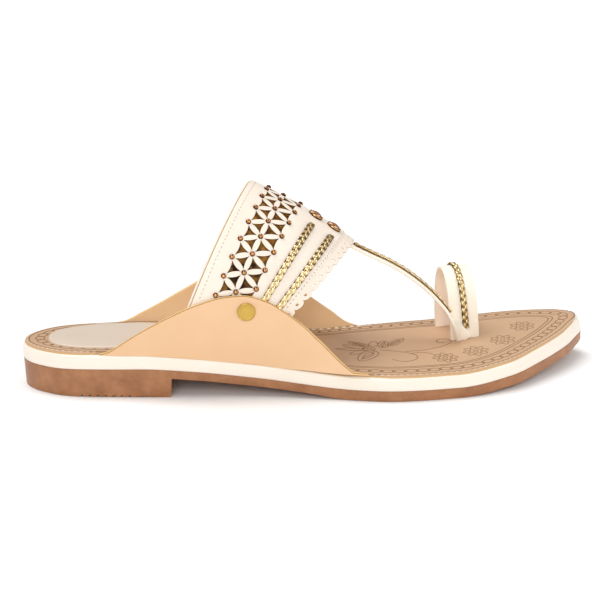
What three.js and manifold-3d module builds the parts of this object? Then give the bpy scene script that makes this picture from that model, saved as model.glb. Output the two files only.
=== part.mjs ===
// Flat toe-ring sandal for a right foot: a low heeled sole, a wide cut-out vamp band held between
// two side panels, a centre strap and a ring for the big toe.
// Millimetres, +Z up, +X towards the toe, +Y towards the big-toe side; the sole stands on Z = 0.
// "at" is a distance from the heel end along the foot's axis.
import * as THREE from "three";
import { mergeVertices } from "three/addons/utils/BufferGeometryUtils.js";
import Module from "manifold-3d";

const wasm = await Module();
wasm.setup();

// Driving dimensions
const soleLength = 253.4;
const gap = 0.3; // left between pieces that touch
const insoleThickness = 1;
const vampThickness = 1.8;
const panelThickness = 1.6;
const strapThickness = 1.5;
const heelBreastAt = 62; // front face of the heel block
const panelRim = 0.4; // midsole edge left outside the side panels
const toeTip = { from: 245, insoleInset: 1.8, bandLean: 1.2 }; // the wrap's front leans back and shows more

// Plan of the sole: its middle line and half width
const solePlan = [
  { at: 0, middle: 1.5, half: 0 },
  { at: 8, middle: 1.2, half: 16.2 },
  { at: 17, middle: 0.6, half: 22.2 },
  { at: 30, middle: 0, half: 25.2 },
  { at: 62, middle: -1.8, half: 28.3 },
  { at: 100, middle: -3.6, half: 31 },
  { at: 128, middle: -6.3, half: 36 },
  { at: 154, middle: -7.1, half: 42.4 },
  { at: 182, middle: -4.2, half: 43.9 },
  { at: 206, middle: -0.6, half: 39.4 },
  { at: 223, middle: 4.9, half: 31.2 },
  { at: 238, middle: 9.9, half: 21 },
  { at: 247, middle: 12.6, half: 11.7 },
  { at: 253.4, middle: 13.9, half: 0 },
];

// Height of the midsole's top edge above the floor (heel, waist, flat tread and toe spring), and the
// depths of its wrapped band and of the tread under it
const soleRise = [
  { at: 0, top: 18.2, band: 6.5, tread: 3.6 },
  { at: 48, top: 18.2, band: 6.1, tread: 3.6 },
  { at: 74, top: 16.5, band: 5.8, tread: 3.6 },
  { at: 95, top: 14.3, band: 5.9, tread: 3.6 },
  { at: 116, top: 12.1, band: 6, tread: 3.6 },
  { at: 138, top: 10.1, band: 5.7, tread: 4.4 },
  { at: 182, top: 10.1, band: 5.8, tread: 4.3 },
  { at: 204, top: 11.8, band: 5.8, tread: 4.4 },
  { at: 220, top: 13.7, band: 6.2, tread: 4.4 },
  { at: 238, top: 15.8, band: 6.4, tread: 4.2 },
  { at: 247, top: 17.2, band: 6.6, tread: 4.2 },
  { at: 253.4, top: 17.8, band: 6.4, tread: 4 },
];
const springAt = 182; // from here to the toe the sole's sides stand square to its slope

// The last that the upper is shaped on, section by section. A section is a flat cut that leans forward
// as it climbs and runs forward towards the inner side; "at" is where it meets the foot's axis.
// Crest is its height above the sole, ridge the sideways place of its top line, and outer and inner
// are its half breadths from the ridge at shoulder height.
const lastSections = [
  { at: 38, crest: 77, ridge: 1, outer: 25, inner: 24 },
  { at: 70, crest: 68, ridge: 1.5, outer: 33.5, inner: 28.5 },
  { at: 94, crest: 59.6, ridge: 2, outer: 35, inner: 29.5 },
  { at: 124, crest: 46.4, ridge: 2.5, outer: 37.5, inner: 29.5 },
  { at: 160, crest: 30, ridge: 3, outer: 46, inner: 31 },
];
const shoulderShare = 0.42; // shoulder height as a share of the crest
const sectionLean = 0.42; // forward per height
const sectionSkew = 0.28; // forward per distance to the inner side
const footReach = 28; // usual distance of a section's feet from the axis

// Top edges of the side panels, measured up from the midsole; the inner panel sits further forward
const outerPanelEdge = [
  { at: 33, height: 0.9 },
  { at: 37, height: 2.2 },
  { at: 43, height: 6.2 },
  { at: 49.5, height: 10.6 },
  { at: 62, height: 18.2 },
  { at: 73, height: 24 },
  { at: 85, height: 27.9 },
  { at: 93, height: 28.7 },
  { at: 102.5, height: 26.9 },
  { at: 109, height: 23.8 },
  { at: 114.3, height: 21 },
  { at: 118.3, height: 18.4 },
  { at: 122.6, height: 14.9 },
  { at: 127.3, height: 11 },
  { at: 131, height: 7.6 },
  { at: 135.5, height: 3.8 },
  { at: 138.5, height: 1.7 },
  { at: 144, height: 0.9 },
];
const innerPanelEdge = [
  { at: 35, height: 0.9 },
  { at: 44, height: 2 },
  { at: 53, height: 5.8 },
  { at: 62, height: 10.2 },
  { at: 72, height: 15.6 },
  { at: 86, height: 22.8 },
  { at: 101, height: 27.4 },
  { at: 114, height: 25 },
  { at: 130, height: 16 },
  { at: 140, height: 10 },
  { at: 148, height: 4 },
  { at: 156, height: 0.9 },
];

// Vamp band
const vampBackAt = 68.8;
const vampFrontAt = 124.6; // tips of the scallops at the ridge
const outerSweep = 11.2; // how far the front edge runs back at the outer panel
const innerSweep = 15; // and at the inner panel
const sweepStart = 0.45; // share of the band's width where the sweep begins
const sweepPower = 0.64; // how the sweep grows over the width
const sweepBend = 2; // and towards the panels
const vampTuck = 10; // vamp hidden behind a panel
const scallopPitch = 5.6;
const scallopDepth = 2.3;

// Flower lattice cut out of the vamp: three columns of nodes, with a petal along each edge
const latticePitch = 8.7;
const latticeOffset = -2.9; // middle row's place off the ridge
const latticeColumns = [
  { at: 78.3, firstNode: -7, lastNode: 6 },
  { at: 86, firstNode: -7.5, lastNode: 6.5 },
  { at: 94.6, firstNode: -7, lastNode: 6 },
];
const petalHalfWidth = 1.3;
const nodeClearance = 1.55; // hole tip to node centre
const holeSideSteps = 2;
const prismReach = 4; // half length of a cutting prism

// Braided cords: where they run on the vamp, from a distance off the ridge down to the panels
const braidRows = [
  { name: "rear", share: 0.63, start: 13.5 },
  { name: "front", share: 0.815, start: 13.5 },
];
const braidPanelGap = 0.8;
const braidWidth = 3.3;
const braidHeight = 1.5;
const braidPitch = 3.4;
const braidSwell = 0.12; // each strip's swelling as a share of the section
const braidSway = 0.45; // the crest's zigzag

// Stones on the ridge line between the cords
const stoneRows = [
  { name: "rear", share: 0.62 },
  { name: "front", share: 0.795 },
];
const stoneOffset = -2.5; // off the ridge
const stoneSize = { length: 6.8, width: 5.6 };
const settingHeight = 1;

// Centre strap: its middle line from under the vamp to the slot between the first two toes
const strapPath = [
  { x: 130.5, y: 2.2, z: 66.5, turn: 2 },
  { x: 141.5, y: 2.3, z: 58.1, turn: 5 },
  { x: 152, y: 2.4, z: 52.5, turn: 8 },
  { x: 161.5, y: 2.4, z: 47.8, turn: 9 },
  { x: 170.5, y: 2.2, z: 42, turn: 8 },
  { x: 179.5, y: 1.4, z: 34.3, turn: 4 },
  { x: 186.5, y: -0.4, z: 26.2, turn: -1 },
  { x: 191.3, y: -2.2, z: 19.6, turn: 26 },
  { x: 195.5, y: -0.3, z: 12, turn: 84 },
];
const strapWidth = { vamp: 6.6, foot: 7.4 };
const strapSteps = 26;
const strapBraid = { from: 0.2, to: 0.77, shift: 0 };

// Toe ring: an arched band from the slot to the big-toe edge
const ringOuterFoot = { x: 196.4, y: 1.6 };
const ringInnerFoot = { x: 194.8, y: 26 };
const ringHeight = 31.1; // top of the band above the insole
const ringLean = 2; // the top's lean towards the heel
const ringWidth = 13.3;
const ringThickness = 1.7;
const ringSquareness = 0.86; // 1 is a plain ellipse, less is squarer
const ringSteps = 30;
const ringBraid = { from: 0.088, to: 0.95, shift: 0.8 }; // laid a little towards the heel

// Heel patch on the insole, and the round badge on the outer panel
const heelPatch = { from: 11, to: 80, half: 19.5, middle: 0, thickness: 0.6, squareness: 2.5 };
const badge = { at: 93.6, height: 22.5, radius: 3.8, thickness: 1.1, rim: 0.7 };

// Finishes
const finishes = {
  outsole: { color: 0xb27a58, roughness: 0.6, metalness: 0 },
  ivory: { color: 0xfdf3e4, roughness: 0.55, metalness: 0 },
  insole: { color: 0xcfa982, roughness: 0.7, metalness: 0 },
  patch: { color: 0xe4d5c6, roughness: 0.6, metalness: 0 },
  panel: { color: 0xf2cb9e, roughness: 0.6, metalness: 0 },
  gold: { color: 0xc2a15a, roughness: 0.35, metalness: 0.9 },
  stone: { color: 0x9a5a24, roughness: 0.1, metalness: 0 },
};

// Smooth curve through one column of a table that never overshoots its rows
function alongTable(table, column, place = (at) => at) {
  const x = table.map((row) => place(row.at));
  const y = table.map((row) => row[column]);
  const last = x.length - 1;
  const slope = y.slice(1).map((value, i) => (value - y[i]) / (x[i + 1] - x[i]));
  const tangent = y.map((_, i) => {
    if (i === 0) return slope[0];
    if (i === last) return slope[last - 1];
    if (slope[i - 1] * slope[i] <= 0) return 0;
    return (2 * slope[i - 1] * slope[i]) / (slope[i - 1] + slope[i]);
  });
  return (at) => {
    const here = THREE.MathUtils.clamp(place(at), x[0], x[last]);
    let i = 0;
    while (i < last - 1 && here > x[i + 1]) i += 1;
    const width = x[i + 1] - x[i];
    const t = (here - x[i]) / width;
    const u = 1 - t;
    return (
      y[i] * (1 + 2 * t) * u * u +
      y[i + 1] * (1 + 2 * u) * t * t +
      tangent[i] * width * t * u * u -
      tangent[i + 1] * width * u * t * t
    );
  };
}

// Angle that runs 0 to pi from heel to toe and makes both ends of the plan round
const endAngle = (at) => Math.acos(THREE.MathUtils.clamp(1 - (2 * at) / soleLength, -1, 1));
const soleMiddle = alongTable(solePlan, "middle", endAngle);
const soleHalf = alongTable(solePlan, "half", endAngle);
const soleTop = alongTable(soleRise, "top");
const bandDepth = alongTable(soleRise, "band");
const treadDepth = alongTable(soleRise, "tread");
const soleEdge = (at, side) => soleMiddle(at) + side * soleHalf(at);
const insoleTop = (at) => soleTop(at) + gap + insoleThickness;
const crest = alongTable(lastSections, "crest");
const ridge = alongTable(lastSections, "ridge");
const outerBreadth = alongTable(lastSections, "outer");
const innerBreadth = alongTable(lastSections, "inner");
const panelEdge = (side) => (side < 0 ? outerPanelEdge : innerPanelEdge);
const outerPanelHeight = alongTable(outerPanelEdge, "height");
const innerPanelHeight = alongTable(innerPanelEdge, "height");
const panelHeight = (at, side) => (side < 0 ? outerPanelHeight(at) : innerPanelHeight(at));

// A closed mesh from vertices and triangles, as a geometry
function meshOf(vertices, triangles) {
  const geometry = new THREE.BufferGeometry();
  const places = vertices.flatMap((vertex) => vertex.toArray());
  geometry.setAttribute("position", new THREE.Float32BufferAttribute(places, 3));
  geometry.setIndex(triangles);
  geometry.computeVertexNormals();
  return geometry;
}

// Geometry to a solid and back, for joins and cuts
function solidOf(geometry) {
  const bare = geometry.clone();
  bare.deleteAttribute("normal");
  bare.deleteAttribute("uv");
  const merged = mergeVertices(bare, 1e-4);
  return new wasm.Manifold(
    new wasm.Mesh({
      numProp: 3,
      vertProperties: merged.attributes.position.array,
      triVerts: new Uint32Array(merged.index.array),
    }),
  );
}

function geometryOf(solid) {
  const mesh = solid.getMesh();
  const geometry = new THREE.BufferGeometry();
  geometry.setAttribute("position", new THREE.BufferAttribute(mesh.vertProperties.slice(), 3));
  geometry.setIndex(new THREE.BufferAttribute(mesh.triVerts.slice(), 1));
  geometry.computeVertexNormals();
  return geometry;
}

// A plate whose outlines are stacked rings, each ring the outer side from heel to toe and then the
// inner side back. Its top and bottom are ladders of straight rungs from side to side.
function plateOf(rings) {
  const count = rings[0].length;
  const half = count / 2;
  const triangles = [];
  rings.slice(1).forEach((_, level) => {
    for (let i = 0; i < count; i += 1) {
      const a = level * count + i;
      const b = level * count + ((i + 1) % count);
      triangles.push(a, b, b + count, a, b + count, a + count);
    }
  });
  const top = (rings.length - 1) * count;
  for (let i = 0; i < half; i += 1) {
    const left = [i, i + 1];
    const right = [(count - i) % count, count - i - 1];
    const rung = [left[0], left[1], right[1], right[0]];
    const faces = i === 0 ? [[0, 1, 2]] : i === half - 1 ? [[0, 1, 3]] : [[0, 1, 2], [0, 2, 3]];
    faces.forEach((f) => {
      triangles.push(...f.map((k) => top + rung[k]));
      triangles.push(...f.map((k) => rung[k]).reverse());
    });
  }
  return meshOf(rings.flat(), triangles);
}

// One ring of the sole's plan, pulled in by an inset and set at a height, both given along the sole,
// the inset by side too
const stationCount = 36;
const evenStations = Array.from({ length: stationCount + 1 }, (_, i) => {
  return (soleLength / 2) * (1 - Math.cos((Math.PI * i) / stationCount));
});
const breastHalfStep = 0.3;
const soleStations = [...evenStations, heelBreastAt - breastHalfStep, heelBreastAt + breastHalfStep]
  .filter((at, _, all) => all.every((other) => other === at || Math.abs(other - at) > 0.1))
  .sort((a, b) => a - b);

function soleRing(inset, height) {
  const plan = (at, side) => new THREE.Vector2(at, soleEdge(at, side));
  const step = 0.4;
  const pulledIn = (at, side) => {
    const before = plan(Math.max(at - step, 0), side);
    const after = plan(Math.min(at + step, soleLength), side);
    const along = after.sub(before).normalize();
    const inward = new THREE.Vector2(along.y * side, -along.x * side);
    return plan(at, side).addScaledVector(inward, inset(at, side));
  };
  const heel = new THREE.Vector2(inset(0, 1), soleMiddle(0));
  const toe = new THREE.Vector2(soleLength - inset(soleLength, 1), soleMiddle(soleLength));
  const between = soleStations.slice(1, -1);
  const outline = [
    { at: 0, place: heel },
    ...between.map((at) => ({ at, place: pulledIn(at, -1) })),
    { at: soleLength, place: toe },
    ...between.map((at) => ({ at, place: pulledIn(at, 1) })).reverse(),
  ];
  return outline.map(({ at, place }) => {
    const z = height(at, place.x);
    const slope = (soleTop(at) - soleTop(at - 1)) * (at > springAt ? 1 : 0);
    return new THREE.Vector3(place.x + slope * (soleTop(at) - z), place.y, z);
  });
}

// Outsole: heel block, thin waist, flat tread and toe spring, with its lower edge rounded
function outsoleGeometry() {
  const edgeRound = 0.5;
  const topInset = 0.1;
  const backTaper = { depth: 0.6, from: 26, to: 2 }; // the heel's back wall leans in
  const toeTaper = { depth: 0.2, from: 216, to: 250 }; // and the toe's front wall
  const upper = (at) => soleTop(at) - bandDepth(at) - gap;
  const lower = (at) => (at < heelBreastAt ? 0 : upper(at) - treadDepth(at) + gap);
  const taper = (at) => {
    const back = 1 - THREE.MathUtils.smoothstep(at, backTaper.to, backTaper.from);
    const toe = THREE.MathUtils.smoothstep(at, toeTaper.from, toeTaper.to);
    return topInset + backTaper.depth * back + toeTaper.depth * toe;
  };
  return plateOf([
    soleRing((at) => taper(at) + edgeRound, lower),
    soleRing(taper, (at) => lower(at) + edgeRound),
    soleRing(() => topInset, upper),
  ]);
}

// Share of the toe tip's shaping, from none behind it to all at the very end
const tipShare = (at) => THREE.MathUtils.smoothstep(at, toeTip.from, soleLength);

// Midsole: the wrapped band round the whole sandal, with soft edges
function midsoleGeometry() {
  const edge = 0.9;
  const bottom = (at) => soleTop(at) - bandDepth(at);
  const lean = (at) => toeTip.bandLean * tipShare(at);
  return plateOf([
    soleRing(() => edge, bottom),
    soleRing(() => 0, (at) => bottom(at) + edge),
    soleRing((at) => lean(at) * 0.8, (at) => soleTop(at) - edge),
    soleRing((at) => lean(at) + edge * 0.7, soleTop),
  ]);
}

// Insole: lies on the midsole, drawn in beside the side panels
function insoleGeometry() {
  const freeInset = 0.9;
  const besidePanel = 2.5;
  const blend = 9;
  const inset = (at, side) => {
    const edge = panelEdge(side);
    const firstAt = edge[0].at;
    const lastAt = edge[edge.length - 1].at;
    const rise = THREE.MathUtils.smoothstep(at, firstAt - blend, firstAt - 3);
    const fall = 1 - THREE.MathUtils.smoothstep(at, lastAt + 1, lastAt + blend);
    const toe = toeTip.insoleInset * tipShare(at);
    return freeInset + toe + (besidePanel - freeInset) * Math.min(rise, fall);
  };
  const edgeRound = 0.5;
  return plateOf([
    soleRing(inset, (_, x) => soleTop(x) + gap),
    soleRing(inset, (_, x) => insoleTop(x) - edgeRound),
    soleRing((at, side) => inset(at, side) + edgeRound, (_, x) => insoleTop(x)),
  ]);
}

// Heel patch: a thin oval pad on the heel of the insole
function heelPatchGeometry() {
  const steps = 14;
  const middleAt = (heelPatch.from + heelPatch.to) / 2;
  const reach = (heelPatch.to - heelPatch.from) / 2;
  const power = 2 / heelPatch.squareness;
  const ring = (lift) =>
    Array.from({ length: 2 * steps }, (_, i) => {
      const angle = Math.PI * (i / steps - 1);
      const c = Math.cos(angle);
      const s = Math.sin(angle);
      const x = middleAt + reach * Math.sign(c) * Math.abs(c) ** power;
      const y = heelPatch.middle + heelPatch.half * Math.sign(s) * Math.abs(s) ** power;
      return new THREE.Vector3(x, y, insoleTop(x) + lift);
    });
  return plateOf([ring(gap), ring(gap + heelPatch.thickness)]);
}

// The last's surface. "around" runs from -1 at the outer foot of a section through 0 on the ridge to
// 1 at its inner foot: a quarter ellipse down to each shoulder, then a wall that tucks in to the sole.
const shoulder = (at) => shoulderShare * crest(at);
const upperOffset = panelRim + panelThickness + gap + vampThickness;

function lastPoint(at, around) {
  const side = around < 0 ? -1 : 1;
  const breadth = side < 0 ? outerBreadth(at) : innerBreadth(at);
  const share = 2 * Math.abs(around);
  let height;
  let y;
  if (share <= 1) {
    const angle = (share * Math.PI) / 2;
    height = shoulder(at) + (crest(at) - shoulder(at)) * Math.cos(angle);
    y = ridge(at) + side * breadth * Math.sin(angle);
  } else {
    const down = share - 1;
    const foot = soleEdge(at + side * sectionSkew * footReach, side) - side * upperOffset;
    const wide = ridge(at) + side * breadth;
    height = shoulder(at) * (1 - down);
    y = wide + (foot - wide) * down * down;
  }
  const x = at + sectionSkew * y;
  return new THREE.Vector3(x + sectionLean * height, y, soleTop(x) + height);
}

function lastNormal(at, around) {
  const step = 0.01;
  const alongFoot = lastPoint(at + step, around).sub(lastPoint(at - step, around));
  const acrossFoot = lastPoint(at, around + step).sub(lastPoint(at, around - step));
  return alongFoot.cross(acrossFoot).normalize();
}

const onLast = (at, around, lift) => lastPoint(at, around).addScaledVector(lastNormal(at, around), lift);

// Place on a section of the last at a height above the sole, on one side
function aroundAtHeight(at, height, side) {
  const low = shoulder(at);
  if (height <= low) return side * (1 - height / (2 * low));
  return (side * Math.acos(Math.min((height - low) / (crest(at) - low), 1))) / Math.PI;
}

// Section and place on the last that lie at a distance along the foot and a height, on one side
function placeBeside(x, height, side) {
  let at = x - sectionLean * height - side * sectionSkew * footReach;
  for (let pass = 0; pass < 6; pass += 1) {
    at += x - lastPoint(at, aroundAtHeight(at, height, side)).x;
  }
  return { at, around: aroundAtHeight(at, height, side) };
}

// A wall with thickness: a grid of points on its inner face, the same on its outer face, and the edges
function wallOf(columns, rows, point) {
  const vertices = [];
  for (let layer = 0; layer < 2; layer += 1) {
    for (let i = 0; i <= columns; i += 1) {
      for (let j = 0; j <= rows; j += 1) vertices.push(point(i / columns, j / rows, layer));
    }
  }
  const index = (i, j, layer) => (layer * (columns + 1) + i) * (rows + 1) + j;
  const triangles = [];
  const quad = (a, b, c, d) => triangles.push(a, b, c, a, c, d);
  for (let i = 0; i < columns; i += 1) {
    for (let j = 0; j < rows; j += 1) {
      quad(index(i, j, 1), index(i + 1, j, 1), index(i + 1, j + 1, 1), index(i, j + 1, 1));
      quad(index(i, j, 0), index(i, j + 1, 0), index(i + 1, j + 1, 0), index(i + 1, j, 0));
    }
    quad(index(i, 0, 0), index(i + 1, 0, 0), index(i + 1, 0, 1), index(i, 0, 1));
    quad(index(i, rows, 1), index(i + 1, rows, 1), index(i + 1, rows, 0), index(i, rows, 0));
  }
  for (let j = 0; j < rows; j += 1) {
    quad(index(0, j, 1), index(0, j + 1, 1), index(0, j + 1, 0), index(0, j, 0));
    quad(index(columns, j, 0), index(columns, j + 1, 0), index(columns, j + 1, 1), index(columns, j, 1));
  }
  return meshOf(vertices, triangles);
}

// Side panel: from the midsole up to its curved top edge, one step outside the vamp
function panelGeometry(side) {
  const columns = 26;
  const rows = 4;
  const edge = panelEdge(side);
  const firstAt = edge[0].at;
  const lastAt = edge[edge.length - 1].at;
  const innerLift = vampThickness + gap;
  return wallOf(columns, rows, (along, up, layer) => {
    const x = firstAt + (lastAt - firstAt) * along;
    const height = panelHeight(x, side) * up;
    const { at, around } = placeBeside(x, height, side);
    // The inner side's wall is turned over so that its faces still point out
    const outerFace = side < 0 ? layer : 1 - layer;
    const point = onLast(at, around, innerLift + outerFace * panelThickness);
    point.z = Math.max(point.z, soleTop(point.x) + gap);
    return point;
  });
}

// Place on the vamp band: share of its width from the back edge, and the last's own "around"
function vampAt(share, around) {
  const swept = Math.max(0, (share - sweepStart) / (1 - sweepStart)) ** sweepPower;
  const sweep = around < 0 ? outerSweep : innerSweep;
  return vampBackAt + (vampFrontAt - vampBackAt) * share - sweep * swept * Math.abs(2 * around) ** sweepBend;
}

// Height of a place on the vamp above the top edge of the panel on its side
function aboutPanel(share, around) {
  const point = lastPoint(vampAt(share, around), around);
  const foot = point.x - sectionLean * shoulder(vampAt(share, around));
  return point.z - soleTop(foot) - panelHeight(point.x, around);
}

// The vamp's lower end, tucked behind the panel
function vampEnd(share, side) {
  let around = 0.3;
  while (aboutPanel(share, side * around) > -vampTuck && around < 0.9) around += 0.005;
  return around;
}

// Distance along a line on the vamp from the ridge, and the place at a given distance
function vampLine(share) {
  const steps = 240;
  const reach = 0.75;
  const lengths = { "-1": [0], 1: [0] };
  const arounds = Array.from({ length: steps + 1 }, (_, i) => (reach * i) / steps);
  [-1, 1].forEach((side) => {
    let previous = onLast(vampAt(share, 0), 0, vampThickness);
    arounds.slice(1).forEach((around, i) => {
      const next = onLast(vampAt(share, side * around), side * around, vampThickness);
      lengths[side].push(lengths[side][i] + next.distanceTo(previous));
      previous = next;
    });
  });
  return (distance) => {
    const side = distance < 0 ? -1 : 1;
    const row = lengths[side];
    let i = 0;
    while (i < steps - 1 && row[i + 1] < Math.abs(distance)) i += 1;
    const t = (Math.abs(distance) - row[i]) / (row[i + 1] - row[i]);
    return side * THREE.MathUtils.lerp(arounds[i], arounds[i + 1], t);
  };
}

// A frame that lies on the last: x along the foot, z outwards
function frameOnLast(at, around, lift) {
  const outwards = lastNormal(at, around);
  const along = lastPoint(at + 0.5, around).sub(lastPoint(at - 0.5, around));
  along.addScaledVector(outwards, -along.dot(outwards)).normalize();
  const across = outwards.clone().cross(along);
  return new THREE.Matrix4().makeBasis(along, across, outwards).setPosition(onLast(at, around, lift));
}

// A cutting prism through the vamp: an outline carried both ways along the outward direction
function prismOf(outline, outwards) {
  const count = outline.length;
  const middle = outline.reduce((sum, point) => sum.add(point), new THREE.Vector3()).divideScalar(count);
  const vertices = [-prismReach, prismReach].flatMap((reach) => {
    return [...outline, middle].map((point) => point.clone().addScaledVector(outwards, reach));
  });
  const top = count + 1;
  const triangles = [];
  for (let k = 0; k < count; k += 1) {
    const n = (k + 1) % count;
    triangles.push(k, n, top + n, k, top + n, top + k);
    triangles.push(n, k, count, top + k, top + n, top + count);
  }
  const solid = solidOf(meshOf(vertices, triangles));
  return solid.volume() > 0 ? solid : solidOf(meshOf(vertices, triangles.reverse()));
}

// One hole of the lattice: a triangle between three nodes whose sides are hollowed by the petals
function latticeHole(nodes) {
  const middle = nodes.reduce((sum, node) => sum.add(node.point), new THREE.Vector3()).divideScalar(3);
  const outwards = nodes.reduce((sum, node) => sum.add(node.normal), new THREE.Vector3()).normalize();
  const tips = nodes.map(({ point }) => {
    const inward = middle.clone().sub(point).normalize();
    return point.clone().addScaledVector(inward, nodeClearance);
  });
  const outline = [];
  tips.forEach((tip, i) => {
    const next = tips[(i + 1) % 3];
    const edgeMiddle = nodes[i].point.clone().add(nodes[(i + 1) % 3].point).divideScalar(2);
    const inward = middle.clone().sub(edgeMiddle).normalize();
    const waist = edgeMiddle.addScaledVector(inward, petalHalfWidth);
    const control = waist.multiplyScalar(2).sub(tip.clone().add(next).divideScalar(2));
    const side = new THREE.QuadraticBezierCurve3(tip, control, next);
    outline.push(...side.getPoints(holeSideSteps).slice(0, -1));
  });
  return prismOf(outline, outwards);
}

function latticeHoles() {
  const columns = latticeColumns.map(({ at, firstNode, lastNode }) => {
    const share = (at - vampBackAt) / (vampFrontAt - vampBackAt);
    const placeAt = vampLine(share);
    const nodes = new Map();
    for (let k = firstNode; k <= lastNode; k += 1) {
      const around = placeAt(k * latticePitch + latticeOffset);
      const base = vampAt(share, around);
      nodes.set(k, { point: onLast(base, around, vampThickness / 2), normal: lastNormal(base, around) });
    }
    return nodes;
  });
  const holes = [];
  const addHole = (...nodes) => nodes.every(Boolean) && holes.push(latticeHole(nodes));
  [[0, 1], [2, 1]].forEach(([edge, centre]) => {
    columns[edge].forEach((node, k) => {
      addHole(node, columns[edge].get(k + 1), columns[centre].get(k + 0.5));
      addHole(node, columns[centre].get(k - 0.5), columns[centre].get(k + 0.5));
    });
  });
  return holes;
}

// Notches between the scallops of the front edge, each with two round flanks
const notchOutline = [
  { along: -1, across: 0 },
  { along: -0.42, across: 0.1 },
  { along: -0.1, across: 0.28 },
  { along: 0.1, across: 0.5 },
  { along: 0.6, across: 0.5 },
  { along: 0.6, across: -0.5 },
  { along: 0.1, across: -0.5 },
  { along: -0.1, across: -0.28 },
  { along: -0.42, across: -0.1 },
];

function scallopNotches() {
  const placeAt = vampLine(1);
  const furthest = 12;
  const notches = [];
  for (let k = -furthest; k < furthest; k += 1) {
    const around = placeAt((k + 0.5) * scallopPitch);
    if (aboutPanel(1, around) < 0) continue;
    const frame = frameOnLast(vampAt(1, around), around, vampThickness / 2);
    const outline = notchOutline.map(({ along, across }) => {
      return new THREE.Vector3(along * scallopDepth, across * scallopPitch, 0).applyMatrix4(frame);
    });
    const outwards = new THREE.Vector3().setFromMatrixColumn(frame, 2);
    notches.push(prismOf(outline, outwards));
  }
  return notches;
}

function vampSolid() {
  const columns = 4;
  const rows = 32;
  const wall = wallOf(columns, rows, (share, across, layer) => {
    const side = across < 0.5 ? -1 : 1;
    const around = (2 * across - 1) * vampEnd(share, side);
    return onLast(vampAt(share, around), around, layer * vampThickness);
  });
  return [...scallopNotches(), ...latticeHoles()].reduce((sum, cut) => sum.subtract(cut), solidOf(wall));
}

// A flat band along a path: each step gives its middle, its width direction and its face direction.
// Its ends are cut off level with the insole.
const footDepth = 0.7;

function bandOf(steps, thickness, place) {
  return wallOf(steps, 2, (along, across, layer) => {
    const { middle, sideways, outwards, width } = place(along);
    const point = middle
      .clone()
      .addScaledVector(sideways, (across - 0.5) * width)
      .addScaledVector(outwards, (layer - 0.5) * thickness);
    point.z = Math.max(point.z, insoleTop(point.x) + gap);
    return point;
  });
}

const strapCurve = new THREE.CatmullRomCurve3(strapPath.map(({ x, y, z }) => new THREE.Vector3(x, y, z)));
const strapTurns = strapPath.map(({ turn }, i) => ({ at: i / (strapPath.length - 1), turn }));
const strapTurn = alongTable(strapTurns, "turn");

function strapPlace(along) {
  const middle = strapCurve.getPoint(along);
  const forward = strapCurve.getTangent(along);
  const level = new THREE.Vector3(0, 1, 0).addScaledVector(forward, -forward.y).normalize();
  const sideways = level.applyAxisAngle(forward, THREE.MathUtils.degToRad(strapTurn(along)));
  const outwards = forward.clone().cross(sideways);
  return { middle, sideways, outwards, width: THREE.MathUtils.lerp(strapWidth.vamp, strapWidth.foot, along) };
}

const ringMiddle = new THREE.Vector3(
  (ringOuterFoot.x + ringInnerFoot.x) / 2,
  (ringOuterFoot.y + ringInnerFoot.y) / 2,
  0,
);
const ringAcross = new THREE.Vector3(ringInnerFoot.x - ringOuterFoot.x, ringInnerFoot.y - ringOuterFoot.y, 0);
const ringReach = ringAcross.length() / 2;
ringAcross.normalize();
const ringAxis = new THREE.Vector3(-ringAcross.y, ringAcross.x, 0);

function ringPlace(along) {
  const spot = (share) => {
    const angle = Math.PI * share;
    const c = Math.cos(angle);
    const reach = -ringReach * Math.sign(c) * Math.abs(c) ** ringSquareness;
    const point = ringMiddle.clone().addScaledVector(ringAcross, reach);
    const rise = Math.max(Math.sin(angle), 0) ** ringSquareness;
    point.x -= ringLean * rise;
    return point.setZ(insoleTop(point.x) - footDepth + (ringHeight + footDepth - ringThickness / 2) * rise);
  };
  const step = 0.004;
  const forward = spot(Math.min(along + step, 1)).sub(spot(Math.max(along - step, 0))).normalize();
  const middle = spot(along);
  const outwards = forward.clone().cross(ringAxis).normalize();
  return { middle, sideways: ringAxis.clone(), outwards, width: ringWidth };
}

// Upper: vamp band, centre strap and toe ring, joined where they meet
function upperGeometry() {
  const strap = solidOf(bandOf(strapSteps, strapThickness, strapPlace));
  const ring = solidOf(bandOf(ringSteps, ringThickness, ringPlace));
  return geometryOf(vampSolid().add(strap).add(ring));
}

// A braided cord laid on a face: a flat-bottomed bar whose strips swell and sway in turn
const braidSection = [
  { across: -1, up: 0, swells: 0 },
  { across: -0.9, up: 0.55, swells: 1 },
  { across: -0.35, up: 1, swells: 1 },
  { across: 0.35, up: 1, swells: -1 },
  { across: 0.9, up: 0.55, swells: -1 },
  { across: 1, up: 0, swells: 0 },
];

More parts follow.
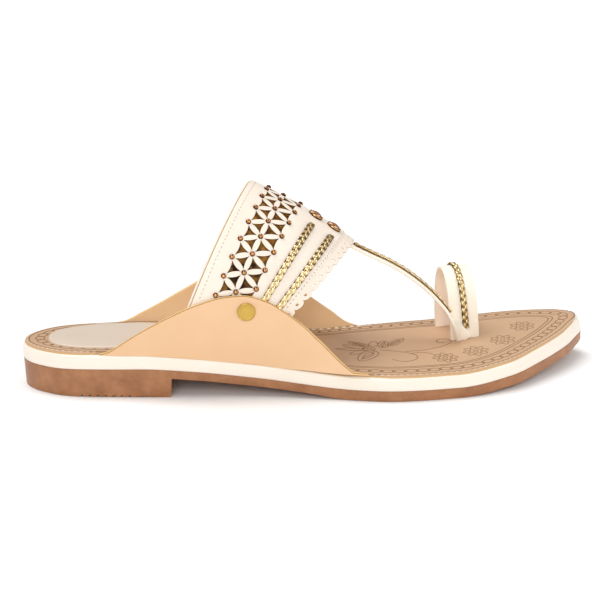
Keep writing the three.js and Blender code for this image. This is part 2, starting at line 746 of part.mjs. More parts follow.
function braidGeometry(length, place) {
  const steps = 2 * Math.round(length / braidPitch);
  const sides = braidSection.length;
  const vertices = [];
  for (let i = 0; i <= steps; i += 1) {
    const { middle, sideways, outwards } = place(i / steps);
    const beat = i % 2 === 0 ? 1 : -1;
    braidSection.forEach(({ across, up, swells }) => {
      const swell = 1 + braidSwell * beat * swells;
      const sway = up * braidSway * beat;
      vertices.push(
        middle
          .clone()
          .addScaledVector(sideways, (across * braidWidth * swell) / 2 + sway)
          .addScaledVector(outwards, up * braidHeight * swell),
      );
    });
  }
  const triangles = [];
  for (let i = 0; i < steps; i += 1) {
    for (let k = 0; k < sides; k += 1) {
      const a = i * sides + k;
      const b = i * sides + ((k + 1) % sides);
      triangles.push(a, b, b + sides, a, b + sides, a + sides);
    }
  }
  for (let k = 1; k < sides - 1; k += 1) {
    const end = steps * sides;
    triangles.push(0, k + 1, k, end, end + k, end + k + 1);
  }
  const geometry = meshOf(vertices, triangles);
  return solidOf(geometry).volume() > 0 ? geometry : meshOf(vertices, triangles.reverse());
}

function vampBraidGeometry(row, side) {
  const placeAt = vampLine(row.share);
  const spot = (distance) => {
    const around = placeAt(side * distance);
    return onLast(vampAt(row.share, around), around, vampThickness + gap);
  };
  let end = row.start;
  while (aboutPanel(row.share, placeAt(side * end)) > braidPanelGap + braidWidth / 4) end += 0.25;
  return braidGeometry(end - row.start, (along) => {
    const distance = THREE.MathUtils.lerp(row.start, end, along);
    const around = placeAt(side * distance);
    const forward = spot(distance + 0.3).sub(spot(distance - 0.3)).normalize();
    const outwards = lastNormal(vampAt(row.share, around), around);
    return { middle: spot(distance), sideways: forward.cross(outwards).normalize(), outwards };
  });
}

function bandBraidGeometry(place, thickness, { from, to, shift }) {
  const points = Array.from({ length: 80 }, (_, i) => place(THREE.MathUtils.lerp(from, to, i / 79)).middle);
  const length = points.slice(1).reduce((sum, point, i) => sum + point.distanceTo(points[i]), 0);
  return braidGeometry(length, (along) => {
    const spot = place(THREE.MathUtils.lerp(from, to, along));
    spot.middle.addScaledVector(spot.outwards, thickness / 2 + gap).addScaledVector(spot.sideways, shift);
    return spot;
  });
}

// Badge: a plain round metal disc with a raised rim
function badgeGeometry() {
  const { radius, thickness, rim } = badge;
  const profile = [
    [0, 0],
    [radius, 0],
    [radius, thickness * 0.7],
    [radius - rim * 0.4, thickness],
    [radius - rim, thickness * 0.75],
    [0, thickness * 0.75],
  ].map(([x, y]) => new THREE.Vector2(x, y));
  return new THREE.LatheGeometry(profile, 24).rotateX(Math.PI / 2);
}

// Stone and its cup setting, both oval
function ovalLathe(profile, segments) {
  const points = profile.map(([x, y]) => new THREE.Vector2(x, y));
  const oval = new THREE.LatheGeometry(points, segments).rotateX(Math.PI / 2);
  return oval.scale(stoneSize.length / 2, stoneSize.width / 2, 1);
}

function settingGeometry() {
  const floor = 0.4;
  const profile = [[0, 0], [1, 0], [1, settingHeight], [0.84, settingHeight], [0.78, floor], [0, floor]];
  return ovalLathe(profile, 20);
}

function stoneGeometry() {
  const seat = 0.4 + gap;
  const girdle = settingHeight - 0.1;
  const table = settingHeight + 0.7;
  return ovalLathe([[0, seat], [0.62, seat], [0.7, girdle], [0.42, table], [0, table]], 12);
}

// Assembly
const sandal = new THREE.Group();

function addPiece(name, geometry, finish, frame) {
  const piece = new THREE.Mesh(geometry, new THREE.MeshStandardMaterial(finishes[finish]));
  piece.name = name;
  if (frame) piece.applyMatrix4(frame);
  sandal.add(piece);
}

addPiece("outsole", outsoleGeometry(), "outsole");
addPiece("midsole", midsoleGeometry(), "ivory");
addPiece("insole", insoleGeometry(), "insole");
addPiece("heel_patch", heelPatchGeometry(), "patch");
addPiece("side_panel_outer", panelGeometry(-1), "panel");
addPiece("side_panel_inner", panelGeometry(1), "panel");
addPiece("upper", upperGeometry(), "ivory");

braidRows.forEach((row) => {
  addPiece(`braid_outer_${row.name}`, vampBraidGeometry(row, -1), "gold");
  addPiece(`braid_inner_${row.name}`, vampBraidGeometry(row, 1), "gold");
});
addPiece("braid_strap", bandBraidGeometry(strapPlace, strapThickness, strapBraid), "gold");
addPiece("braid_ring", bandBraidGeometry(ringPlace, ringThickness, ringBraid), "gold");

const badgePlace = placeBeside(badge.at, badge.height, -1);
const badgeLift = vampThickness + gap + panelThickness + gap;
const badgeFrame = frameOnLast(badgePlace.at, badgePlace.around, badgeLift);
addPiece("badge", badgeGeometry(), "gold", badgeFrame);

stoneRows.forEach((row) => {
  const around = vampLine(row.share)(stoneOffset);
  const frame = frameOnLast(vampAt(row.share, around), around, vampThickness + gap);
  addPiece(`stone_${row.name}_setting`, settingGeometry(), "gold", frame);
  addPiece(`stone_${row.name}`, stoneGeometry(), "stone", frame);
});

// The frame's origin is the middle of the sandal's footprint on the floor
const bounds = new THREE.Box3().setFromObject(sandal, true);
const centre = bounds.getCenter(new THREE.Vector3());
sandal.position.set(-centre.x, -centre.y, -bounds.min.z);

export default sandal;
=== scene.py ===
import bmesh
import bpy
import numpy as np
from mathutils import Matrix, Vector


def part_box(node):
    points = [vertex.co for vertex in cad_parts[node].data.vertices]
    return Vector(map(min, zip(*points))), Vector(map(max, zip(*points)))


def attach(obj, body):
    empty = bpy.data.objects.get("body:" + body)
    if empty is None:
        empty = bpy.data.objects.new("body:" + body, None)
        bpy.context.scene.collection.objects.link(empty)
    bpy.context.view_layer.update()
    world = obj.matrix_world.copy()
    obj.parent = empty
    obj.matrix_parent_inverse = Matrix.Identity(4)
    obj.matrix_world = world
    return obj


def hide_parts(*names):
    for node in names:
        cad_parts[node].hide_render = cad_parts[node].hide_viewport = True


# Flat toe-ring sandal, right foot. Sizes are millimetres; "at" is a distance from the heel end along
# the foot's axis, +X to the toe, +Y to the big-toe side.
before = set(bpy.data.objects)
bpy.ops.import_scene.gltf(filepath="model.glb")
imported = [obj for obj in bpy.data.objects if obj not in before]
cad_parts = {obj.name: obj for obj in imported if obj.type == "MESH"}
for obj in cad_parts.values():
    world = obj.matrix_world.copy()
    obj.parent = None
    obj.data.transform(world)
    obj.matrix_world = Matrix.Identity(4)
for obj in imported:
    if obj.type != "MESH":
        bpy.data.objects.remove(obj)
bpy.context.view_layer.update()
millimetre = 0.001
print("frame loaded:", len(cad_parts), "nodes")


# Curve through one column of a table: cubic pieces, each row's slope the harmonic mean of its neighbours'
def smoothTable(table, column, place=lambda at: at):
    x = place(np.array(table["at"], float))
    y = np.array(table[column], float)
    step = np.diff(x)
    slope = np.diff(y) / step
    product = slope[:-1] * slope[1:]
    total = np.where(product > 0, slope[:-1] + slope[1:], 1)
    inner = np.where(product > 0, 2 * product / total, 0)
    tangent = np.concatenate([slope[:1], inner, slope[-1:]])

    def curve(at):
        here = np.clip(place(np.asarray(at, float)), x[0], x[-1])
        i = np.clip(np.searchsorted(x, here, side="right") - 1, 0, len(step) - 1)
        t = (here - x[i]) / step[i]
        u = 1 - t
        ends = y[i] * (1 + 2 * t) * u * u + y[i + 1] * (1 + 2 * u) * t * t
        return ends + step[i] * t * u * (tangent[i] * u - tangent[i + 1] * t)

    return curve


# Vectors divided by their length
def unit(vectors):
    return vectors / np.linalg.norm(vectors, axis=-1, keepdims=True)


# Rise from 0 at low to 1 at high: three t squared less two t cubed
def smoothStep(value, low, high):
    t = np.clip((value - low) / (high - low), 0, 1)
    return t * t * (3 - 2 * t)


# Equal angles from 0 round to a full turn
def fullTurn(steps):
    return np.linspace(0, 2 * np.pi, steps + 1)


# Directions in the plan, turned a quarter to the left
def quarterTurn(plan):
    return np.stack([-plan[..., 1], plan[..., 0]], -1)


# Outline with its first point repeated at the end
def closeLoop(outline):
    return np.concatenate([outline, outline[..., :1, :]], -2)


# Distance run along a line of points up to each of them, and the points that lie at given distances
def runLength(line):
    steps = np.linalg.norm(np.diff(line, axis=-2), axis=-1)
    return np.concatenate([0 * steps[..., :1], np.cumsum(steps, -1)], -1)


def alongLine(line, length, spot):
    return np.stack([np.interp(spot, length, column) for column in line.T], -1)


# Loops along a piece, drawn together to a point before the first and after the last
def closeEnds(loops):
    first, final = (np.broadcast_to(row.mean(0), row.shape)[None] for row in (loops[0], loops[-1]))
    return np.concatenate([first, loops, final])


# Sole: plan and heights, the same driving sizes as the solids
sole = {
    "length": 253.4,
    "plan": {
        "at": [0, 8, 17, 30, 62, 100, 128, 154, 182, 206, 223, 238, 247, 253.4],
        "middle": [1.5, 1.2, 0.6, 0, -1.8, -3.6, -6.3, -7.1, -4.2, -0.6, 4.9, 9.9, 12.6, 13.9],
        "half": [0, 16.2, 22.2, 25.2, 28.3, 31, 36, 42.4, 43.9, 39.4, 31.2, 21, 11.7, 0],
    },
    "rise": {
        "at": [0, 48, 74, 95, 116, 138, 182, 204, 220, 238, 247, 253.4],
        "top": [18.2, 18.2, 16.5, 14.3, 12.1, 10.1, 10.1, 11.8, 13.7, 15.8, 17.2, 17.8],
        "band": [6.5, 6.1, 5.8, 5.9, 6, 5.7, 5.8, 5.8, 6.2, 6.4, 6.6, 6.4],
        "tread": [3.6, 3.6, 3.6, 3.6, 3.6, 4.4, 4.3, 4.4, 4.4, 4.2, 4.2, 4],
    },
    "springAt": 182,
    "heelBreastAt": 62,
    "insoleHeight": 1.3,
    "toeTip": {"from": 245, "insoleInset": 1.8, "bandLean": 1.2},  # the wrap leans back and shows more
}


# Angle whose cosine falls from 1 at the heel end to -1 at the toe end, so that stations crowd at both
def endAngle(at):
    return np.arccos(np.clip(1 - 2 * np.asarray(at, float) / sole["length"], -1, 1))


soleMiddle = smoothTable(sole["plan"], "middle", endAngle)
soleHalf = smoothTable(sole["plan"], "half", endAngle)
soleTop = smoothTable(sole["rise"], "top")
bandDepth = smoothTable(sole["rise"], "band")
treadDepth = smoothTable(sole["rise"], "tread")


# Edge of the plan: the middle line plus or minus half the width
def soleEdge(at, side):
    return soleMiddle(at) + side * soleHalf(at)


def insoleTop(at):
    return soleTop(at) + sole["insoleHeight"]


# Share of the toe tip's shaping, from none behind it to all at the very end
def tipShare(at):
    return smoothStep(at, sole["toeTip"]["from"], sole["length"])


# Distances from the heel at equal steps of that angle
def roundStations(count):
    return sole["length"] / 2 * (1 - np.cos(np.linspace(0, np.pi, count)))


# From the sandal's own place to the frame's: heel end and outermost edge of the midsole are matched
midsoleCorner = np.array(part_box("midsole")[0]) / millimetre
toFrame = np.array([midsoleCorner[0], midsoleCorner[1] - soleEdge(roundStations(400), -1).min(), 0])


# Outline of the sole drawn in by an inset: plan point less inset times the outward normal, and past the
# spring point pushed forward by the slope times the drop, so that the sides stand square to the sole
def soleOutline(at, side, inset, height):
    step = 1e-3
    angle = endAngle(at)

    def plan(turn):
        along = sole["length"] / 2 * (1 - np.cos(turn))
        return np.stack([along, soleEdge(along, side)], -1)

    middle = np.clip(angle, step, np.pi - step)
    tangent = plan(middle + step) - plan(middle - step)
    normal = side * unit(quarterTurn(tangent))
    normal[angle < 1e-6] = (-1, 0)
    normal[angle > np.pi - 1e-6] = (1, 0)
    place = plan(angle) - np.broadcast_to(inset, at.shape)[..., None] * normal
    z = height(at, place[..., 0])
    slope = np.where(at > sole["springAt"], soleTop(at) - soleTop(at - 1), 0)
    return np.stack([place[..., 0] + slope * (soleTop(at) - z), place[..., 1], z], -1)


# Plate on the sole's plan: round every station runs one loop, the top across, the outer edge down through
# the levels (inset, height), the bottom back and the inner edge up
def plateGrid(at, levels, across=14, bottomRelief=None):
    def edge(side):
        insets = [inset(side) if callable(inset) else inset for inset, _ in levels]
        return np.stack([soleOutline(at, side, i, h) for i, (_, h) in zip(insets, levels)], 1)

    edges = {-1: edge(-1), 1: edge(1)}
    share = np.linspace(0, 1, across + 1)[1:-1, None]
    top = edges[1][:, :1] * (1 - share) + edges[-1][:, :1] * share
    bottom = edges[-1][:, -1:] * (1 - share) + edges[1][:, -1:] * share
    if bottomRelief is not None:
        bottom[..., 2] += bottomRelief(at[:, None], share[:, 0])
    return np.concatenate([edges[1][:, :1], top, edges[-1], bottom, edges[1][:, ::-1]], 1)


# Corners of every cell of one grid, or of a stack of equal grids
def gridFaces(shape):
    index = np.arange(np.prod(shape)).reshape(-1, shape[-2], shape[-1])
    corners = [index[:, :-1, :-1], index[:, 1:, :-1], index[:, 1:, 1:], index[:, :-1, 1:]]
    return np.stack(corners, -1).reshape(-1, 4)


def addObject(name, data):
    made = bpy.data.objects.new(name, data)
    bpy.context.scene.collection.objects.link(made)
    return made


# A piece from grids {points, uv, finish}: their shared edges are welded, faces turned outwards
def addPiece(name, grids, materials, replaced, sharpAngle):
    weld = 2e-6
    points, faces, uvs, finishes = [], [], [], []
    start = 0
    for grid in grids:
        shape = grid["points"].shape[:-1]
        cells = gridFaces(shape)
        uv = np.broadcast_to(grid.get("uv", np.zeros(2)), shape + (2,)).reshape(-1, 2)
        columns = shape[-1] - 1
        points.append(grid["points"].reshape(-1, 3))
        faces.append(cells + start)
        uvs.append(uv[cells])
        finishes.append(np.broadcast_to(grid.get("finish", 0), (len(cells) // columns, columns)).ravel())
        start += int(np.prod(shape))
    points = (np.concatenate(points) + toFrame) * millimetre
    faces = np.concatenate(faces)
    mesh = bpy.data.meshes.new(name)
    mesh.vertices.add(len(points))
    mesh.vertices.foreach_set("co", points.ravel())
    mesh.loops.add(faces.size)
    mesh.loops.foreach_set("vertex_index", faces.ravel())
    mesh.polygons.add(len(faces))
    mesh.polygons.foreach_set("loop_start", np.arange(0, faces.size, 4))
    mesh.update(calc_edges=True)
    mesh.uv_layers.new(name="UVMap").data.foreach_set("uv", np.concatenate(uvs).ravel())
    mesh.polygons.foreach_set("material_index", np.concatenate(finishes).astype(np.int32))
    cloth = bmesh.new()
    cloth.from_mesh(mesh)
    bmesh.ops.remove_doubles(cloth, verts=cloth.verts, dist=weld)
    bmesh.ops.dissolve_degenerate(cloth, edges=cloth.edges, dist=weld / 4)
    bmesh.ops.recalc_face_normals(cloth, faces=cloth.faces)
    cloth.to_mesh(mesh)
    cloth.free()
    mesh.polygons.foreach_set("use_smooth", np.ones(len(mesh.polygons), bool))
    mesh.set_sharp_from_angle(angle=np.radians(sharpAngle))
    for material in materials:
        mesh.materials.append(material)
    piece = addObject(name, mesh)
    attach(piece, "root")
    if replaced:
        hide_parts(*replaced)
    print("piece", name, len(mesh.polygons), "faces")


# Materials: colours are sRGB hex values, made linear by the standard power curve with its straight foot
def toLinear(hexColour):
    value = np.array([int(hexColour[i:i + 2], 16) for i in (1, 3, 5)]) / 255
    linear = np.where(value <= 0.04045, value / 12.92, ((value + 0.055) / 1.055) ** 2.4)
    return (*linear, 1)


# Gives a node's sockets their values, or links them where the value is another node's socket
def setInputs(tree, node, inputs):
    for key, value in inputs.items():
        if isinstance(value, bpy.types.NodeSocket):
            tree.links.new(value, node.inputs[key])
        else:
            node.inputs[key].default_value = value


def addNode(tree, kind, inputs, **settings):
    made = tree.nodes.new(kind)
    for key, value in settings.items():
        setattr(made, key, value)
    setInputs(tree, made, inputs)
    return made


# A new material: its tree, its shader and the sockets of its coordinates
def startMaterial(name):
    material = bpy.data.materials.new(name)
    material.use_nodes = True
    tree = material.node_tree
    return material, tree, tree.nodes["Principled BSDF"], tree.nodes.new("ShaderNodeTexCoord").outputs


# Noise and cell sizes are given as one feature's width in millimetres
def perMetre(width):
    return 1 / (width * millimetre)


# Coated leather: even colour with faint clouding, a soft sheen, and pores as small cells, drawn coarser
# than real ones so that they show
def coatedLeather(name, colour, clouded, poreSize, poreDepth, roughness, coat=0.0):
    material, tree, shader, coordinates = startMaterial(name)
    place = coordinates["Object"]
    cloud = addNode(tree, "ShaderNodeTexNoise", {"Vector": place, "Scale": perMetre(14), "Detail": 3})
    tones = {"Factor": cloud.outputs["Fac"], "A": toLinear(colour), "B": toLinear(clouded)}
    paint = addNode(tree, "ShaderNodeMix", tones, data_type="RGBA")
    pores = addNode(tree, "ShaderNodeTexVoronoi", {"Vector": place, "Scale": perMetre(poreSize)})
    crease = addNode(tree, "ShaderNodeTexNoise", {"Vector": place, "Scale": perMetre(5), "Detail": 4})
    height = addNode(tree, "ShaderNodeMath", {0: pores.outputs["Distance"], 1: crease.outputs["Fac"]})
    relief = {"Height": height.outputs[0], "Strength": poreDepth, "Distance": 0.1 * millimetre}
    bump = addNode(tree, "ShaderNodeBump", relief)
    sheen = {"Roughness": roughness, "Coat Weight": coat, "Coat Roughness": 0.35}
    surface = {"Base Color": paint.outputs["Result"], "Normal": bump.outputs["Normal"]}
    setInputs(tree, shader, sheen | surface)
    return material


# The bands take a lighter copy of the ivory leather, painted light against the tinted bounce on them
lightenedBandLeather = coatedLeather("ivory leather, lightened band copy", "#FDF5E6", "#F8EEDB", 0.9, 0.35, 0.45, 0.1)
ivoryLeather = coatedLeather("ivory coated leather", "#F2E6D8", "#EDDFCF", 0.9, 0.35, 0.45, 0.1)
wrapLeather = coatedLeather("ivory midsole wrap", "#F6ECDF", "#F2E6D6", 1.1, 0.25, 0.42, 0.12)
tanLeather = coatedLeather("peach tan calf leather", "#E8BF94", "#E2B78B", 0.8, 0.3, 0.45, 0.08)
tanLining = coatedLeather("tan split lining", "#F4CFA0", "#EAC292", 0.7, 0.5, 0.62)
insoleLeather = coatedLeather("taupe insole leather", "#CBA684", "#C29C79", 0.8, 0.5, 0.55)
padLeather = coatedLeather("pale heel pad leather", "#E0CFBD", "#D9C6B2", 0.9, 0.3, 0.45)
cutEdge = coatedLeather("burnished cut edge", "#E0BA80", "#CDA265", 0.6, 0.5, 0.5)
paleEdge = coatedLeather("golden panel edge", "#F0CB8E", "#E4BA7A", 0.6, 0.5, 0.5)
edgeLine = coatedLeather("burnished edge line", "#B4843F", "#A27334", 0.6, 0.4, 0.5)
liningBeige = coatedLeather("beige lining skin", "#F0DCC8", "#E9D3BD", 0.8, 0.4, 0.55)
# The bands' inner faces take a lighter copy of the beige lining, painted light against the shade inside the
# ring
lightenedRingLining = coatedLeather("beige lining, lightened ring copy", "#FFF3E4", "#FBEBD9", 0.8, 0.35, 0.5)
trimLeather = coatedLeather("ivory edging leather", "#EFE3D4", "#E9DAC8", 0.7, 0.35, 0.5)
burnishedLine = coatedLeather("burnished embossing", "#82603F", "#92704E", 0.6, 0.3, 0.6)
fineLine = coatedLeather("fine embossing", "#7E5C3B", "#8E6B49", 0.6, 0.3, 0.6)
# Hole walls: a burnished cut edge, darkened further as painted shade on the hole side
shadedHoleWall = coatedLeather("burnished hole wall with painted shade", "#86602F", "#6A4722", 0.6, 0.4, 0.5)
# Waxed threads take the same soft sheen
stitchThread = coatedLeather("beige sewing thread", "#CDBBA8", "#BFAB96", 0.5, 0.5, 0.7)
paleThread = coatedLeather("pale waxed thread", "#F3E4CC", "#EBD8BC", 0.5, 0.4, 0.6)


# Foil lining: bronze leather with painted shade low down and painted gold glints higher up, in patches
def foilLining():
    material, tree, shader, coordinates = startMaterial("bronze foil lining")
    place = coordinates["Object"]
    axes = addNode(tree, "ShaderNodeSeparateXYZ", {"Vector": place})
    # Painted shade: darker the lower the point
    rise = {"From Min": 30 * millimetre, "From Max": 75 * millimetre, "To Min": -0.3, "To Max": 0.2}
    shadeByHeight = addNode(tree, "ShaderNodeMapRange", {"Value": axes.outputs["Z"]} | rise)
    spread = addNode(tree, "ShaderNodeTexNoise", {"Vector": place, "Scale": perMetre(3.2), "Detail": 2})
    # Painted glints: gold patches from the noise
    limits = {"From Min": 0.36, "From Max": 0.66}
    glintPatches = addNode(tree, "ShaderNodeMapRange", {"Value": spread.outputs["Fac"]} | limits)
    shares = {0: glintPatches.outputs["Result"], 1: shadeByHeight.outputs["Result"]}
    light = addNode(tree, "ShaderNodeMath", shares, use_clamp=True)
    tones = {"Factor": light.outputs[0], "A": toLinear("#2C1405"), "B": toLinear("#A8742E")}
    paint = addNode(tree, "ShaderNodeMix", tones, data_type="RGBA")
    surface = {"Base Color": paint.outputs["Result"], "Roughness": 0.6, "Specular IOR Level": 0.15}
    setInputs(tree, shader, surface)
    return material


bronzeLining = foilLining()


# Moulded brown rubber: satin, mottled by flow and handling, with small scuffs that catch the light
def mouldedRubber():
    material, tree, shader, coordinates = startMaterial("brown moulded rubber")
    place = coordinates["Object"]
    flow = {"Vector": place, "Scale": perMetre(9), "Detail": 6, "Roughness": 0.7}
    cloud = addNode(tree, "ShaderNodeTexNoise", flow)
    limits = {"From Min": 0.3, "From Max": 0.7}
    mottling = addNode(tree, "ShaderNodeMapRange", {"Value": cloud.outputs["Fac"]} | limits)
    tones = {"Factor": mottling.outputs["Result"], "A": toLinear("#8F5C36"), "B": toLinear("#B27A50")}
    paint = addNode(tree, "ShaderNodeMix", tones, data_type="RGBA")
    grit = addNode(tree, "ShaderNodeTexNoise", {"Vector": place, "Scale": perMetre(0.7), "Detail": 3})
    relief = {"Height": grit.outputs["Fac"], "Strength": 0.3, "Distance": 0.15 * millimetre}
    bump = addNode(tree, "ShaderNodeBump", relief)
    surface = {"Base Color": paint.outputs["Result"], "Roughness": 0.46, "Normal": bump.outputs["Normal"]}
    setInputs(tree, shader, surface)
    return material


# Plated metal: dark patina and painted shade in the hollows, a worn body tone and a painted highlight on
# the crest (the UV's second coordinate runs from hollow to crest), light scratches in the gloss
def platedMetal(name, tones, roughness, wearSize):
    material, tree, shader, coordinates = startMaterial(name)
    grain = {"Vector": coordinates["Object"], "Scale": perMetre(wearSize), "Detail": 4}
    wearAndShade = addNode(tree, "ShaderNodeTexNoise", grain).outputs["Fac"]
    relief = addNode(tree, "ShaderNodeSeparateXYZ", {"Vector": coordinates["UV"]})
    uneven = addNode(tree, "ShaderNodeMapRange", {"Value": wearAndShade, "To Min": -0.2, "To Max": 0.2})
    shine = addNode(tree, "ShaderNodeMath", {0: relief.outputs["Y"], 1: uneven.outputs["Result"]})
    # Ramp from the hollows' patina and painted shade through the body tone to the crest's painted highlight
    ramp = addNode(tree, "ShaderNodeValToRGB", {"Fac": shine.outputs[0]})
    stops = ramp.color_ramp.elements
    stops.new(0.55)
    for stop, tone in zip(stops, tones):
        stop.color = toLinear(tone)
    limits = {"To Min": roughness - 0.08, "To Max": roughness + 0.1}
    gloss = addNode(tree, "ShaderNodeMapRange", {"Value": wearAndShade} | limits)
    surface = {"Base Color": ramp.outputs["Color"], "Metallic": 1.0, "Roughness": gloss.outputs["Result"]}
    setInputs(tree, shader, surface)
    return material


brownRubber = mouldedRubber()
# One gold cord in three copies: the ring's; the vamp's with a darker body and a brighter painted highlight;
# the strap's lightened throughout, painted light against the shade on its lower flank
goldCord = platedMetal("antique gold cord", ("#2A1906", "#765A34", "#DFC592"), 0.32, 1.2)
vampCord = platedMetal("gold cord, vamp copy", ("#2A1906", "#70522A", "#EED6A4"), 0.32, 1.2)
lightenedStrapCord = platedMetal("gold cord, lightened strap copy", ("#6A4E24", "#A8875A", "#F2DBB0"), 0.36, 1.2)
copperRivet = platedMetal("copper bronze rivet", ("#200B03", "#5C3014", "#C98F5C"), 0.2, 1.5)
brassPlate = platedMetal("satin brass plate", ("#A8842F", "#BE9A4A", "#CDAA58"), 0.42, 0.8)
goldSetting = platedMetal("antique gold setting", ("#38190A", "#8C5A28", "#EBC488"), 0.22, 1.0)


# Cut amber glass: deep body colour, bright facets
def amberGlass():
    material, tree, shader, coordinates = startMaterial("amber cut glass")
    streaks = {"Vector": coordinates["Object"], "Scale": perMetre(2.5), "Detail": 2}
    depth = addNode(tree, "ShaderNodeTexNoise", streaks)
    tones = {"Factor": depth.outputs["Fac"], "A": toLinear("#4E2009"), "B": toLinear("#E08C34")}
    paint = addNode(tree, "ShaderNodeMix", tones, data_type="RGBA")
    body = {"Roughness": 0.06, "IOR": 1.54, "Transmission Weight": 0.35, "Coat Weight": 0.6}
    setInputs(tree, shader, {"Base Color": paint.outputs["Result"]} | body)
    return material


amberStone = amberGlass()
print("materials made")


# Outsole: heel block, thin waist, flat tread and toe spring, grooved across the heel and the ball
outsole = {
    "topInset": 0.1,
    "backTaper": {"depth": 0.6, "from": 26, "to": 2},  # the heel's back wall leans in
    "toeTaper": {"depth": 0.2, "from": 216, "to": 250},  # and the toe's front wall
    "edgeRound": 0.5,
    "heelGrooves": {"from": 24.5, "to": 46, "pitch": 3.35, "width": 1.3, "depth": 0.75},
    "fineGrooves": {"from": 49.7, "to": 54.4, "pitch": 1.0, "width": 0.55, "depth": 0.5},
    "ballGrooves": {"from": 116, "to": 214, "pitch": 4.9, "width": 1.5, "depth": 0.9},
    "grooveMargin": 0.1,  # share of the width left plain beside the ball grooves
}


# Stations at the edges of every groove's mouth and floor
def grooveStations(groove):
    middles = np.arange(groove["from"], groove["to"], groove["pitch"])
    return (middles[:, None] + groove["width"] * np.array([-0.5, -0.3, 0.3, 0.5])).ravel()


# Depth of a row of grooves with slanted walls
def grooveDepth(at, groove):
    off = np.abs((at - groove["from"] + groove["pitch"] / 2) % groove["pitch"] - groove["pitch"] / 2)
    inside = (at > groove["from"] - groove["pitch"] / 2) & (at < groove["to"])
    return groove["depth"] * (1 - smoothStep(off, 0.3 * groove["width"], 0.5 * groove["width"])) * inside


def outsolePiece():
    breast = sole["heelBreastAt"]
    extra = [grooveStations(outsole[name]) for name in ("heelGrooves", "fineGrooves", "ballGrooves")]
    at = np.concatenate([roundStations(150), *extra, [breast - 0.15, breast + 0.15]])
    at = np.unique(np.round(at, 3))
    back, toe = outsole["backTaper"], outsole["toeTaper"]
    taper = outsole["topInset"] + back["depth"] * (1 - smoothStep(at, back["to"], back["from"]))
    taper = taper + toe["depth"] * smoothStep(at, toe["from"], toe["to"])
    rounding = outsole["edgeRound"]

    def top(at, x):
        return soleTop(at) - bandDepth(at) + 0.1

    def bottom(at, x):
        return np.where(at < breast, 0, soleTop(at) - bandDepth(at) - treadDepth(at))

    def grooved(at, x):
        cuts = [grooveDepth(at, outsole[name]) for name in ("heelGrooves", "fineGrooves")]
        return bottom(at, x) + sum(cuts)

    def relief(at, share):
        margin = outsole["grooveMargin"]
        inside = smoothStep(np.minimum(share, 1 - share), margin, margin + 0.04)
        return grooveDepth(at, outsole["ballGrooves"]) * inside

    levels = [
        (outsole["topInset"] + 2, top),
        (outsole["topInset"], top),
        (taper, lambda at, x: grooved(at, x) + rounding),
        (taper + 0.25 * rounding, lambda at, x: grooved(at, x) + 0.35 * rounding),
        (taper + rounding, grooved),
    ]
    grid = plateGrid(at, levels, 40, relief)
    addPiece("outsole_tread", [{"points": grid}], [brownRubber], ["outsole"], 30)


# Midsole: wrapped band with soft edges and slightly full sides
midsole = {"edge": 0.9, "fullness": 0.15}


def midsolePiece():
    edge = midsole["edge"]
    at = roundStations(260)
    lean = sole["toeTip"]["bandLean"] * tipShare(at)

    def under(drop):
        return lambda at, x: soleTop(at) - drop

    def above(rise):
        return lambda at, x: soleTop(at) - bandDepth(at) + rise

    levels = [
        (3 * edge + lean, under(0.05)),
        (0.85 * edge + lean, under(0)),
        (0.4 * edge + 0.95 * lean, under(0.12 * edge)),
        (0.1 * edge + 0.88 * lean, under(0.45 * edge)),
        (0.8 * lean, under(edge)),
        (0.4 * lean - midsole["fullness"], lambda at, x: soleTop(at) - 0.5 * bandDepth(at)),
        (0, above(edge)),
        (0.15 * edge, above(0.4 * edge)),
        (0.5 * edge, above(0.1 * edge)),
        (edge, above(0)),
    ]
    grid = plateGrid(at, levels)
    addPiece("midsole_wrap", [{"points": grid}], [wrapLeather], ["midsole"], 60)


# Insole: thin leather, drawn in beside the panels, its cut edge burnished
insole = {
    "freeInset": 0.9,
    "besidePanel": 2.5,
    "blend": 9,
    "edgeRound": 0.5,
    "rimLine": 0.8,
}


# Inset from the sole's edge: a smooth step up beside the panel and down past it, and more at the toe's tip
def insoleInset(at, side):
    beside = panels["outer" if side < 0 else "inner"]["at"]
    first, last = beside[0], beside[-1]
    rise = smoothStep(at, first - insole["blend"], first - 3)
    fall = 1 - smoothStep(at, last + 1, last + insole["blend"])
    toe = sole["toeTip"]["insoleInset"] * tipShare(at)
    more = (insole["besidePanel"] - insole["freeInset"]) * np.minimum(rise, fall)
    return insole["freeInset"] + toe + more


def insolePiece():
    at = roundStations(260)
    rounding = insole["edgeRound"]
    across = 24

    def inset(more):
        return lambda side: insoleInset(at, side) + more

    def under(drop):
        return lambda at, x: insoleTop(x) - drop

    levels = [
        (inset(2 * rounding), under(0)),
        (inset(rounding), under(0.05)),
        (inset(0.3 * rounding), under(0.25 * rounding)),
        (inset(0), under(0.7 * rounding)),
        (inset(0), under(insole["rimLine"])),
        (inset(0), under(sole["insoleHeight"] + 0.1)),
    ]
    rows = len(levels) - 1
    finish = np.repeat([0, 0, 1, 1, 0], [across, rows - 1, across + 1, 1, rows - 1])
    grid = {"points": plateGrid(at, levels, across), "finish": finish}
    addPiece("insole_cover", [grid], [insoleLeather, cutEdge], ["insole"], 50)


# Heel pad: a superellipse drawn in towards its middle, with a rounded rim
heelPad = {
    "from": 11,
    "to": 80,
    "half": 19.5,
    "thickness": 0.9,
    "squareness": 2.5,
    "inset": [100, 12, 5, 2, 0.6, 0.25, 0.05, 0, 0, 100],  # rows from the middle out, down and back
    "lift": [1, 1, 1, 1, 0.98, 0.88, 0.6, 0.3, 0, 0],
}


